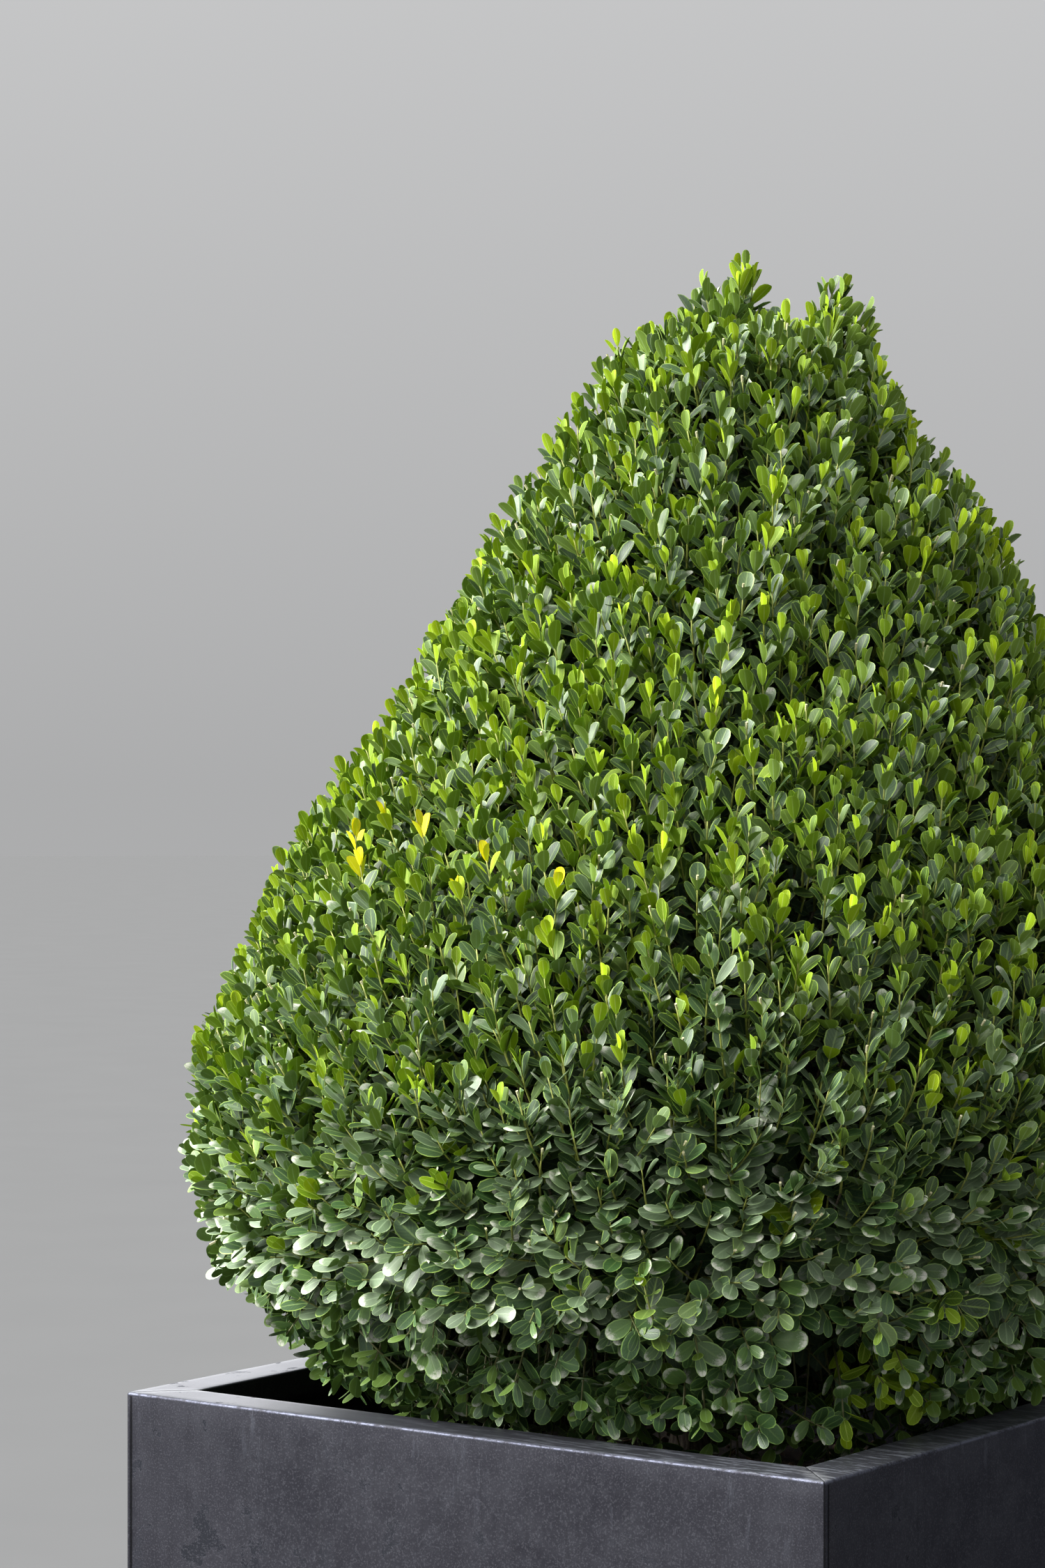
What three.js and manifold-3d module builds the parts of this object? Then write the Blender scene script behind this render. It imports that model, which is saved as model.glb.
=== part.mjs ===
// A clipped boxwood cone in a square planter of dark sheet metal.
// Millimetres, +Z up. The origin is the centre of the planter's flat underside, and the
// widest face in view is the -Y face.

import * as THREE from 'three';
import { mergeVertices } from 'three/addons/utils/BufferGeometryUtils.js';
import Module from 'manifold-3d';

const wasm = await Module();
wasm.setup();

// Driving dimensions

const GAP = 0.3;                  // clearance between pieces that touch

// planter: sheet folded over at the top into a broad rim with a flange turned down inside
const PLANTER_SIDE = 700;
const PLANTER_HEIGHT = 700;
const SHEET = 3;
const RIM_WIDTH = 44;
const FLANGE_DEPTH = 26;

const SOIL_BELOW_RIM = 95;
const SOIL_TOP = PLANTER_HEIGHT - SOIL_BELOW_RIM;

// trunk: a short stem with a flare of root buttresses, leaning towards the crown's axis
const TRUNK_FOOT_RADIUS = 34;
const TRUNK_RADIUS = 21;
const TRUNK_TIP_RADIUS = 15;
const TRUNK_TOP = PLANTER_HEIGHT + 22;
const TRUNK_LEAN = [7, 5];        // how far the tip stands from over the foot, in X and Y
const FLARE_HEIGHT = 26;
const BUTTRESSES = 5;
const BUTTRESS_SWELL = 0.16;      // share of the foot's radius that its ridges stand out by
const CUT_OFF = 8;                // length past the trunk's tip that the flat cut there takes

// boughs: limbs that leave the trunk low down and rise into the crown's underside
const BOUGHS = 5;
const FIRST_BOUGH_ANGLE = 0.5;    // radians from +X
const BOUGH_RADIUS = 11.5;
const BOUGH_TIP_RADIUS = 7.5;
const BOUGH_REACH = 178;          // from the trunk to the tip, seen from above
const BOUGH_START = SOIL_TOP + 34;
const BOUGH_STEP = 5;             // each leaves the trunk this much above the last
const BOUGH_TOP = PLANTER_HEIGHT + 76;

// crown: its outline as [height over the rim, radius]. The skirt hangs a little way into the
// planter, and the rest is clipped to a cone with a blunt top, widest well above the rim
const CROWN_OUTLINE = [
    [-55, 240], [-8, 296], [6, 330], [35, 374], [97, 437], [190, 462], [285, 468],
    [360, 446], [457, 403], [533, 350], [615, 297], [684, 258], [754, 214], [802, 178],
    [864, 140], [915, 118], [950, 70], [962, 0],
];
const CROWN_BOTTOM = CROWN_OUTLINE[0][0];
const CROWN_TOP = CROWN_OUTLINE[CROWN_OUTLINE.length - 1][0];
const CROWN_SHIFT = [35, 25];     // the upper crown's axis from over the planter's middle
const SHIFT_HEIGHT = 500;         // height over the rim where the axis stands there in full
const STEM_TIP_RADIUS = 6;        // of the stem that runs up inside the crown
const SLACK = 6;                  // how far a leaf may pass the outline
const TOP_SLACK = 90;             // and how far one on a top shoot may
const CLEAR = 3;                  // least room between a leaf and the planter

// core: the dense inner crown, this far inside the outline
const CORE_INSET = 70;
const CORE_BOTTOM = -24;          // its lower edge, over the rim
const CORE_VAULT = 58;            // how far its underside rises from that edge to the stem
const CORE_TOP_RADIUS = 30;
const CORE_RINGS = 13;
const CORE_SIDES = 22;

// shoots that stand out of the core. The branches that carry them are hidden inside it. Each
// shoot has a pair of leaves and one at its tip
const SHOOTS = 58;
const SHOOT_RADIUS = 5.5;
const SHOOT_LENGTH = 62;          // about 26 of it inside the core
const SHOOT_RISE = 0.75;          // how strongly shoots on the flank turn upwards
const DROOP_HEIGHT = 150;         // shoots rooted lower than this over the rim hang outwards
const LEAF_LENGTH = 94;
const LEAF_WIDTH = 52;
const LEAF_THICKNESS = 4.5;
const LEAF_WIDEST = 0.08;         // how far past its middle a leaf is widest, of its length
const LEAF_SUNK = 5;              // a leaf's root reaches this far past its shoot's middle
const LEAF_SIZES = [0.86, 1.14];  // least and greatest, as shares of the usual size
const TIP_LEAF_SIZE = 0.8;
const PAIR_BELOW_TIP = 4;
const LEAF_SPREAD = 0.75;         // angle between a side leaf and its shoot, in radians
const CORE_LEAVES = 240;          // leaves between the shoots, rooted in the core
const CORE_LEAF_SUNK = 14;
const CORE_LEAF_LIFT = 0.62;      // angle between such a leaf and the core's surface, in radians
const CORE_LEAF_TURN = 0.75;      // most that it leans to either side, in radians

// long shoots that the shears left on top: [across, away, height over the rim], across and
// away being measured along the planter's diagonal view from the crown's axis
const TOP_SHOOTS = [
    [8, 0, 989], [-34, 4, 968], [100, -4, 968], [122, 10, 925], [-120, -4, 922], [-76, 12, 944],
    [60, -30, 952], [2, -52, 950], [20, 56, 954],
];
const TOP_SHOOT_LENGTH = 96;
const VIEW_ANGLE = 0.6254;        // radians from +X to the direction called across

const OUTLINE_STEPS = 120;
const GOLDEN_ANGLE = Math.PI * (3 - Math.sqrt(5));
const UP = new THREE.Vector3(0, 0, 1);

// Materials

const metal = new THREE.MeshStandardMaterial({ color: 0x3c3e44, roughness: 0.45, metalness: 0.8 });
const soilStuff = new THREE.MeshStandardMaterial({ color: 0x2b211a, roughness: 1, metalness: 0 });
const bark = new THREE.MeshStandardMaterial({ color: 0x7a6a55, roughness: 0.9, metalness: 0 });
const foliage = new THREE.MeshStandardMaterial({ color: 0x46702f, roughness: 0.5, metalness: 0 });

// Chance, the same on each run

/** A generator of numbers from 0 to 1 that a seed settles. */
function chance(seed) {
    let state = seed;
    return () => {
        state = (state + 0x6d2b79f5) | 0;
        let mixed = Math.imul(state ^ (state >>> 15), 1 | state);
        mixed = (mixed + Math.imul(mixed ^ (mixed >>> 7), 61 | mixed)) ^ mixed;
        return ((mixed ^ (mixed >>> 14)) >>> 0) / 4294967296;
    };
}

// Solids

/** A solid for joining and cutting, from a closed geometry whose faces may point either way. */
function solid(geometry) {
    geometry.deleteAttribute('normal');
    geometry.deleteAttribute('uv');
    const merged = mergeVertices(geometry, 1e-3);
    const vertProperties = new Float32Array(merged.attributes.position.array);
    const triVerts = new Uint32Array(merged.index.array);
    const made = new wasm.Manifold(new wasm.Mesh({ numProp: 3, vertProperties, triVerts }));
    if (made.volume() > 0) return made;
    return new wasm.Manifold(new wasm.Mesh({ numProp: 3, vertProperties, triVerts: triVerts.reverse() }));
}

/** A named mesh from a solid. */
function piece(name, body, material) {
    const found = body.getMesh();
    const geometry = new THREE.BufferGeometry();
    geometry.setAttribute('position', new THREE.BufferAttribute(found.vertProperties, 3));
    geometry.setIndex(new THREE.BufferAttribute(found.triVerts, 1));
    geometry.computeVertexNormals();
    const mesh = new THREE.Mesh(geometry, material);
    mesh.name = name;
    return mesh;
}

/** The matrix that puts +Y along `along` and +Z as near to `facing` as it can be. */
function pose(at, along, facing) {
    const y = along.clone().normalize();
    const x = new THREE.Vector3().crossVectors(y, facing).normalize();
    const z = new THREE.Vector3().crossVectors(x, y);
    return new THREE.Matrix4().makeBasis(x, y, z).setPosition(at);
}

/**
 * A tapering limb: a lathe turned to `radiusAt` (of 0 to 1 along it) and bent along a curve,
 * grown by `extra` on every side. `lobeAt` gives how far its ridges swell at a place.
 */
function limb(curve, radiusAt, { extra = 0, sides = 9, rings = 8, lobeAt = () => 0 } = {}) {
    const profile = [new THREE.Vector2(0, 0)];
    for (let i = 0; i <= rings; i++) profile.push(new THREE.Vector2(1, i / rings));
    profile.push(new THREE.Vector2(0, 1));
    const geometry = new THREE.LatheGeometry(profile, sides);
    const places = geometry.attributes.position;
    const across = new THREE.Vector3(1, 0, 0);
    for (let i = 0; i < places.count; i++) {
        const t = places.getY(i);
        const tangent = curve.getTangent(t);
        const side = new THREE.Vector3().crossVectors(tangent, across).normalize();
        const other = new THREE.Vector3().crossVectors(side, tangent).normalize();
        const angle = Math.atan2(places.getZ(i), places.getX(i));
        const swell = 1 + lobeAt(t) * Math.cos(BUTTRESSES * angle);
        const radius = Math.hypot(places.getX(i), places.getZ(i)) * (radiusAt(t) * swell + extra);
        const end = t === 0 ? -extra : t === 1 ? extra : 0;
        const place = curve.getPoint(t)
            .addScaledVector(other, radius * Math.cos(angle))
            .addScaledVector(side, radius * Math.sin(angle))
            .addScaledVector(tangent, end);
        places.setXYZ(i, place.x, place.y, place.z);
    }
    return solid(geometry);
}

// The crown's space

/** Radius of the crown's outline at a height over the rim. */
function outlineRadius(height) {
    if (height <= CROWN_OUTLINE[0][0]) return CROWN_OUTLINE[0][1];
    if (height >= CROWN_TOP) return 0;
    const next = CROWN_OUTLINE.findIndex(([h]) => h >= height);
    const [h0, r0] = CROWN_OUTLINE[next - 1];
    const [h1, r1] = CROWN_OUTLINE[next];
    return r0 + (r1 - r0) * (height - h0) / (h1 - h0);
}

/** The crown's middle at a height over the rim: it leans over to its axis, then rises straight. */
function crownMiddle(height) {
    const share = THREE.MathUtils.smoothstep(height, 0, SHIFT_HEIGHT);
    return new THREE.Vector3(
        CROWN_SHIFT[0] * share, CROWN_SHIFT[1] * share, PLANTER_HEIGHT + height);
}

/** A point at an angle and distance from the crown's middle, at a height over the rim. */
function crownPoint(height, angle, radius) {
    return crownMiddle(height)
        .add(new THREE.Vector3(radius * Math.cos(angle), radius * Math.sin(angle), 0));
}

/** Whether a point is in the crown's space, over the rim or inside the planter's mouth. */
function inCrown(point, slack) {
    const height = point.z - PLANTER_HEIGHT;
    const middle = crownMiddle(height);
    const distance = Math.hypot(point.x - middle.x, point.y - middle.y);
    const mouth = PLANTER_SIDE / 2 - RIM_WIDTH - CLEAR;
    const clearOfRim = height > CLEAR || Math.max(Math.abs(point.x), Math.abs(point.y)) < mouth;
    return clearOfRim && height > CROWN_BOTTOM && distance < outlineRadius(height) + slack;
}

/** The outline as steps, each with its normal (out and up) and the area up to its top. */
function outlineSteps(count) {
    const steps = [];
    let area = 0;
    for (let i = 0; i < count; i++) {
        const low = THREE.MathUtils.lerp(CROWN_BOTTOM, CROWN_TOP, i / count);
        const high = THREE.MathUtils.lerp(CROWN_BOTTOM, CROWN_TOP, (i + 1) / count);
        const run = outlineRadius(high) - outlineRadius(low);
        const slant = Math.hypot(run, high - low);
        const radius = (outlineRadius(high) + outlineRadius(low)) / 2;
        area += radius * slant;
        steps.push({ height: (low + high) / 2, radius, out: (high - low) / slant, up: -run / slant, area });
    }
    return steps;
}

// The pieces

/** A lathe of four sides makes the square planter: its profile's x is the way to a face. */
function makePlanter() {
    const half = PLANTER_SIDE / 2;
    const lip = half - RIM_WIDTH;
    const under = PLANTER_HEIGHT - SHEET;
    const section = [
        [0, 0], [half, 0], [half, PLANTER_HEIGHT], [lip, PLANTER_HEIGHT],
        [lip, PLANTER_HEIGHT - FLANGE_DEPTH], [lip + SHEET, PLANTER_HEIGHT - FLANGE_DEPTH],
        [lip + SHEET, under], [half - SHEET, under], [half - SHEET, SHEET], [0, SHEET],
    ].map(([x, y]) => new THREE.Vector2(x * Math.SQRT2, y));
    const geometry = new THREE.LatheGeometry(section, 4, Math.PI / 4);
    geometry.rotateX(Math.PI / 2);
    return piece('planter', solid(geometry), metal);
}

/** Soil that fills the planter, clear of its walls. */
function makeSoil() {
    const width = PLANTER_SIDE - 2 * (SHEET + GAP);
    const depth = SOIL_TOP - SHEET - GAP;
    const geometry = new THREE.BoxGeometry(width, width, depth);
    geometry.translate(0, 0, SOIL_TOP - depth / 2);
    return piece('soil', solid(geometry), soilStuff);
}

const trunkCurve = new THREE.CatmullRomCurve3([
    new THREE.Vector3(0, 0, SOIL_TOP),
    new THREE.Vector3(TRUNK_LEAN[0] * 0.5, -TRUNK_LEAN[1] * 0.4, SOIL_TOP + 45),
    new THREE.Vector3(TRUNK_LEAN[0], TRUNK_LEAN[1], TRUNK_TOP + CUT_OFF),
]);

/** The trunk's radius: a flare at its foot, then an even taper. */
function trunkRadius(t) {
    const flare = Math.exp(-t * (TRUNK_TOP - SOIL_TOP) / FLARE_HEIGHT);
    return THREE.MathUtils.lerp(TRUNK_RADIUS, TRUNK_TIP_RADIUS, t)
        + (TRUNK_FOOT_RADIUS - TRUNK_RADIUS) * flare;
}

/** The trunk's solid, cut flat at soil level. */
function trunkSolid(extra) {
    const lobeAt = t => BUTTRESS_SWELL * Math.exp(-t * (TRUNK_TOP - SOIL_TOP) / FLARE_HEIGHT);
    return limb(trunkCurve, trunkRadius, { extra, sides: 20, rings: 10, lobeAt })
        .trimByPlane([0, 0, 1], SOIL_TOP + GAP - extra)
        .trimByPlane([0, 0, -1], -TRUNK_TOP - extra);
}

/** The path of one bough, from inside the trunk out and up to the crown's underside. */
function boughCurve(index) {
    const angle = FIRST_BOUGH_ANGLE + index * 2 * Math.PI / BOUGHS;
    const out = new THREE.Vector3(Math.cos(angle), Math.sin(angle), 0);
    const start = BOUGH_START + index * BOUGH_STEP;
    const root = trunkCurve.getPoint((start - SOIL_TOP) / (TRUNK_TOP - SOIL_TOP));
    const reach = BOUGH_REACH * (1 + 0.1 * Math.cos(index * GOLDEN_ANGLE));
    const rise = BOUGH_TOP - root.z;
    return new THREE.CatmullRomCurve3([
        root,
        root.clone().addScaledVector(out, reach * 0.35).addScaledVector(UP, rise * 0.28),
        root.clone().addScaledVector(out, reach * 0.75).addScaledVector(UP, rise * 0.62),
        root.clone().addScaledVector(out, reach).addScaledVector(UP, rise),
    ]);
}

/** One bough's solid, grown by `extra` on every side. */
function boughSolid(index, extra) {
    const radiusAt = t => THREE.MathUtils.lerp(BOUGH_RADIUS, BOUGH_TIP_RADIUS, t);
    return limb(boughCurve(index), radiusAt, { extra });
}

/** The core: the outline drawn inwards, with a vaulted underside over the planter. */
function coreSolid() {
    const top = CROWN_TOP - CORE_INSET;
    const rows = [];
    for (let i = 0; i <= CORE_RINGS; i++) {
        const height = THREE.MathUtils.lerp(CORE_BOTTOM, top, i / CORE_RINGS);
        rows.push([Math.max(outlineRadius(height) - CORE_INSET, CORE_TOP_RADIUS), height]);
    }
    const edge = rows[0][0];
    const profile = [
        [0, CORE_BOTTOM + CORE_VAULT], [edge * 0.4, CORE_BOTTOM + CORE_VAULT * 0.8],
        [edge * 0.75, CORE_BOTTOM + CORE_VAULT * 0.35], ...rows, [0, top + CORE_INSET * 0.3],
    ].map(([x, y]) => new THREE.Vector2(x, y));
    const geometry = new THREE.LatheGeometry(profile, CORE_SIDES);
    geometry.rotateX(Math.PI / 2);
    const places = geometry.attributes.position;
    for (let i = 0; i < places.count; i++) {
        const height = places.getZ(i);
        const middle = crownMiddle(height);
        places.setXYZ(i, places.getX(i) + middle.x, places.getY(i) + middle.y, middle.z);
    }
    return solid(geometry);
}

/** One leaf of eight faces, its root at the origin and its blade along +Y, facing +Z. */
function leafGeometry(length, width) {
    const geometry = new THREE.OctahedronGeometry(1);
    const places = geometry.attributes.position;
    for (let i = 0; i < places.count; i++) {
        const edge = Math.abs(places.getY(i)) < 0.5;
        const y = (places.getY(i) + 1) / 2 + (edge ? LEAF_WIDEST : 0);
        places.setXYZ(i, places.getX(i) * width / 2, y * (length + LEAF_SUNK) - LEAF_SUNK,
            places.getZ(i) * LEAF_THICKNESS / 2);
    }
    return geometry;
}

/** A shoot of three sides from `root` to `tip`, thinner at the tip. */
function shootSolid(root, tip) {
    const along = new THREE.Vector3().subVectors(tip, root);
    const length = along.length();
    const geometry = new THREE.CylinderGeometry(SHOOT_RADIUS * 0.6, SHOOT_RADIUS, length, 3, 1);
    geometry.translate(0, length / 2, 0);
    geometry.applyMatrix4(pose(root, along, sideOf(along)));
    return solid(geometry);
}

/** A level direction across a shoot. */
function sideOf(along) {
    const side = new THREE.Vector3().crossVectors(along, UP);
    return side.lengthSq() < 1e-6 ? new THREE.Vector3(1, 0, 0) : side.normalize();
}

/** Where the leaves of one shoot stand: a pair just below its tip, and one leaf at the tip. */
function shootLeafPoses(root, tip, random) {
    const along = new THREE.Vector3().subVectors(tip, root).normalize();
    const turn = random() * Math.PI;
    const at = tip.clone().addScaledVector(along, -PAIR_BELOW_TIP);
    const found = [turn, turn + Math.PI].map(angle => {
        const side = sideOf(along).applyAxisAngle(along, angle);
        const spread = LEAF_SPREAD + 0.2 * (random() - 0.5);
        const way = along.clone().multiplyScalar(Math.cos(spread))
            .addScaledVector(side, Math.sin(spread));
        return { at, way, facing: along, size: leafSize(random) };
    });
    const lean = sideOf(along).applyAxisAngle(along, turn + Math.PI / 3).multiplyScalar(0.25);
    found.push({ at: tip, way: along.clone().add(lean), facing: lean, size: TIP_LEAF_SIZE });
    return found;
}

/** A leaf's size by chance, as a share of the usual one. */
function leafSize(random) {
    return THREE.MathUtils.lerp(...LEAF_SIZES, random());
}

/** Places spread evenly over the outline by area, each turned on by the golden angle. */
function outlinePlaces(count, firstAngle, random) {
    const steps = outlineSteps(OUTLINE_STEPS);
    const area = steps[steps.length - 1].area;
    return [...Array(count).keys()].map(i => {
        const step = steps.find(s => s.area >= area * (i + 0.5) / count);
        const angle = firstAngle + i * GOLDEN_ANGLE + 0.25 * (random() - 0.5);
        const out = new THREE.Vector3(Math.cos(angle) * step.out, Math.sin(angle) * step.out, step.up);
        return { height: step.height, out, at: crownPoint(step.height, angle, step.radius) };
    });
}

/** The root and tip of each shoot. */
function shootEnds(random) {
    const ends = [];
    for (const { height, out, at } of outlinePlaces(SHOOTS, 0, random)) {
        const rise = SHOOT_RISE * THREE.MathUtils.smoothstep(height, DROOP_HEIGHT, SHIFT_HEIGHT);
        const way = out.clone().addScaledVector(UP, rise).normalize();
        const tip = at.clone().addScaledVector(way, -LEAF_LENGTH * 0.72);
        const root = tip.clone().addScaledVector(way, -SHOOT_LENGTH);
        ends.push({ root, tip, slack: SLACK });
    }
    const across = new THREE.Vector3(Math.cos(VIEW_ANGLE), Math.sin(VIEW_ANGLE), 0);
    const away = new THREE.Vector3(-across.y, across.x, 0);
    for (const [right, back, height] of TOP_SHOOTS) {
        const end = crownMiddle(height).addScaledVector(across, right).addScaledVector(away, back);
        const foot = crownMiddle(height - TOP_SHOOT_LENGTH - LEAF_LENGTH)
            .addScaledVector(across, right * 0.55).addScaledVector(away, back * 0.55);
        const way = new THREE.Vector3().subVectors(end, foot).normalize();
        const tip = end.clone().addScaledVector(way, -LEAF_LENGTH * 0.8);
        ends.push({ root: tip.clone().addScaledVector(way, -TOP_SHOOT_LENGTH), tip, slack: TOP_SLACK });
    }
    return ends;
}

/** Where each leaf between the shoots stands: half lying on the core, its tip upwards. */
function coreLeafPoses(random) {
    return outlinePlaces(CORE_LEAVES, 1.1, random).map(({ out, at }) => {
        const level = sideOf(out);
        const turn = THREE.MathUtils.lerp(-CORE_LEAF_TURN, CORE_LEAF_TURN, random());
        const climb = new THREE.Vector3().crossVectors(level, out).applyAxisAngle(out, turn);
        const way = climb.multiplyScalar(Math.cos(CORE_LEAF_LIFT))
            .addScaledVector(out, Math.sin(CORE_LEAF_LIFT));
        const root = at.clone().addScaledVector(out, -CORE_INSET)
            .addScaledVector(way, LEAF_SUNK - CORE_LEAF_SUNK);
        return { at: root, way, facing: out, size: leafSize(random) };
    });
}

/** One leaf's solid, or nothing where it would leave the crown's space. */
function leafSolid({ at, way, facing, size }, slack) {
    const geometry = leafGeometry(LEAF_LENGTH * size, LEAF_WIDTH * size);
    geometry.applyMatrix4(pose(at, way, facing));
    const places = geometry.attributes.position;
    const corner = new THREE.Vector3();
    for (let i = 0; i < places.count; i++) {
        if (!inCrown(corner.fromBufferAttribute(places, i), slack)) return [];
    }
    return [solid(geometry)];
}

/** The clipped crown: a stem, the core round it, and the shoots and leaves that stand out. */
function makeCrown(limbs) {
    const random = chance(11);
    const stemCurve = new THREE.CatmullRomCurve3([
        new THREE.Vector3(TRUNK_LEAN[0], TRUNK_LEAN[1], TRUNK_TOP - CUT_OFF),
        crownMiddle(SHIFT_HEIGHT), crownMiddle(CROWN_TOP - CORE_INSET),
    ]);
    const stem = limb(stemCurve, t => THREE.MathUtils.lerp(TRUNK_TIP_RADIUS, STEM_TIP_RADIUS, t))
        .trimByPlane([0, 0, 1], TRUNK_TOP + GAP);
    const core = limbs.reduce((body, grown) => body.subtract(grown), coreSolid());
    const sprigs = [];
    for (const { root, tip, slack } of shootEnds(random)) {
        const leaves = shootLeafPoses(root, tip, random);
        if (!inCrown(tip, slack)) continue;
        sprigs.push(shootSolid(root, tip), ...leaves.flatMap(leaf => leafSolid(leaf, slack)));
    }
    sprigs.push(...coreLeafPoses(random).flatMap(leaf => leafSolid(leaf, SLACK)));
    const joined = wasm.Manifold.union([core, stem, ...sprigs]);
    const bodies = joined.decompose().sort((a, b) => b.volume() - a.volume());
    return piece('crown_foliage', bodies[0], foliage);
}

const plant = new THREE.Group();
plant.add(makePlanter(), makeSoil());
plant.add(piece('trunk', trunkSolid(0), bark));
for (let i = 0; i < BOUGHS; i++) {
    plant.add(piece(`bough_${i + 1}`, boughSolid(i, 0).subtract(trunkSolid(GAP)), bark));
}
const limbsGrown = [...Array(BOUGHS).keys()].map(i => boughSolid(i, GAP));
plant.add(makeCrown(limbsGrown));

export default plant;
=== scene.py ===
# %% [markdown]
# Clipped boxwood cone in a square metal planter.
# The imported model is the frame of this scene: each piece made here stands where one of its nodes
# stands, and the camera looks from where the photograph was taken. All lengths are in metres,
# the origin is the middle of the planter's underside, and +Z is up.

# %% Load the frame
import math

import bpy
import numpy as np
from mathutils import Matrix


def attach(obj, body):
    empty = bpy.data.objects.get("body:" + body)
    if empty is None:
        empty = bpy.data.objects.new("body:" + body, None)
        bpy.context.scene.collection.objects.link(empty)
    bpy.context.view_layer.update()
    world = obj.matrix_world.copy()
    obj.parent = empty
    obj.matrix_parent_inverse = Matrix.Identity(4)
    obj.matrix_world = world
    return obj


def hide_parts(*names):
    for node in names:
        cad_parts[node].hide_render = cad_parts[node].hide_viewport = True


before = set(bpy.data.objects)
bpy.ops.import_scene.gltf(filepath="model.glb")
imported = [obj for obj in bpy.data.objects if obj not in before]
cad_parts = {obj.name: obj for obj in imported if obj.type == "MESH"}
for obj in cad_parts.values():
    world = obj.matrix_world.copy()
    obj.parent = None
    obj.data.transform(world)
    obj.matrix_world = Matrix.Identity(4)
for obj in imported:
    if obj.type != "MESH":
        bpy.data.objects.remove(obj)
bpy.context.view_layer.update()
print("nodes:", sorted(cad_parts))

# %% [markdown]
# The camera comes first, so that every later choice can be judged from it.
# The view was solved from the planter's square rim: the camera stands level, a little over a metre
# above the ground, and looks past the planter's near corner. A long lens of 85 mm keeps the
# upright edges parallel.

# %% Camera
CAMERA_PLACE = (1.791, -2.733, 1.223)
VIEW_ANGLE = 0.6254
SENSOR_MM = 36.0
LENS_MM = 85.0
ACROSS = np.array([math.cos(VIEW_ANGLE), math.sin(VIEW_ANGLE), 0.0])
AWAY = np.array([-ACROSS[1], ACROSS[0], 0.0])

camera = bpy.data.objects.new("camera", bpy.data.cameras.new("camera"))
camera.location = CAMERA_PLACE
camera.rotation_euler = (math.pi / 2, 0.0, VIEW_ANGLE)
camera.data.sensor_fit = "VERTICAL"
camera.data.sensor_height = SENSOR_MM
camera.data.lens = LENS_MM
bpy.context.scene.collection.objects.link(camera)
bpy.context.scene.camera = camera
print("camera looks along", np.round(AWAY, 3))

# %% [markdown]
# Every shape below is worked out as whole numpy arrays: a grid of points, and the numbers of the
# points that each face joins. One helper turns such arrays into a mesh. foreach_set copies a whole
# array into Blender at once, which is what makes a million leaf faces possible.

# %% From arrays to a mesh
def add_piece(name, points, face_groups, material, smooth=True, uv=None):
    """A mesh object from points (n, 3) and groups of faces, each an array (faces, corners).

    uv gives a place on the texture for each point, and is kept under the name OFBake.
    """
    points = np.asarray(points, dtype=np.float32).reshape(-1, 3)
    groups = [np.asarray(group, dtype=np.int32) for group in face_groups if len(group)]
    corners = np.concatenate([group.ravel() for group in groups])
    sizes = np.concatenate([np.full(len(group), group.shape[1], dtype=np.int32) for group in groups])
    starts = np.concatenate([[0], np.cumsum(sizes)[:-1]]).astype(np.int32)
    mesh = bpy.data.meshes.new(name)
    mesh.vertices.add(len(points))
    mesh.vertices.foreach_set("co", points.ravel())
    mesh.loops.add(len(corners))
    mesh.loops.foreach_set("vertex_index", corners)
    mesh.polygons.add(len(sizes))
    mesh.polygons.foreach_set("loop_start", starts)
    mesh.polygons.foreach_set("use_smooth", np.full(len(sizes), smooth))
    if uv is not None:
        layer = mesh.uv_layers.new(name="OFBake")
        layer.data.foreach_set("uv", np.asarray(uv, dtype=np.float32).reshape(-1, 2)[corners].ravel())
    mesh.update(calc_edges=True)
    mesh.validate()
    mesh.materials.append(material)
    piece = bpy.data.objects.new(name, mesh)
    bpy.context.scene.collection.objects.link(piece)
    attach(piece, "root")
    triangles = int(np.sum(sizes - 2))
    print(f"{name}: {len(points)} points, {triangles} triangles")
    return piece


def unit(vectors):
    """Vectors scaled to length one, along the last axis."""
    return vectors / np.maximum(np.linalg.norm(vectors, axis=-1, keepdims=True), 1e-12)


def smoothstep(value, low, high):
    """0 below low, 1 above high, and the curve 3t^2 - 2t^3 between them."""
    t = np.clip((value - low) / (high - low), 0.0, 1.0)
    return t * t * (3.0 - 2.0 * t)


# %% [markdown]
# Natural surfaces need an uneven height: bark, soil, a wall of sheet metal. Lattice noise gives it.
# Each corner of a cubic lattice gets a fixed number from a hash of its place, and a point between
# the corners blends the eight around it. Octaves of it, each finer and weaker, make it rugged.

# %% Noise for shapes
def lattice_noise(points, cell, seed):
    """Noise from -1 to 1 at points (..., 3): smooth blends of random values a cell apart."""
    scaled = np.asarray(points) / cell
    low = np.floor(scaled).astype(np.int64)
    part = scaled - low
    part = part * part * (3.0 - 2.0 * part)
    total = np.zeros(scaled.shape[:-1])
    for corner in np.ndindex(2, 2, 2):
        place = low + np.array(corner)
        mixed = (place[..., 0] * 73856093) ^ (place[..., 1] * 19349663) ^ (place[..., 2] * 83492791)
        mixed = (mixed + seed * 2654435761) & 0x7FFFFFFF
        mixed = ((mixed ^ (mixed >> 13)) * 1274126177) & 0x7FFFFFFF
        value = ((mixed ^ (mixed >> 16)) & 0xFFFF) / 32767.5 - 1.0
        weight = np.prod(np.where(np.array(corner) == 1, part, 1.0 - part), axis=-1)
        total += value * weight
    return total


def rugged_noise(points, cell, seed, octaves=4):
    """A sum of lattice noises, each half as wide and half as strong as the one before."""
    return sum(lattice_noise(points, cell / 2**i, seed + i) / 2**i for i in range(octaves))


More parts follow.
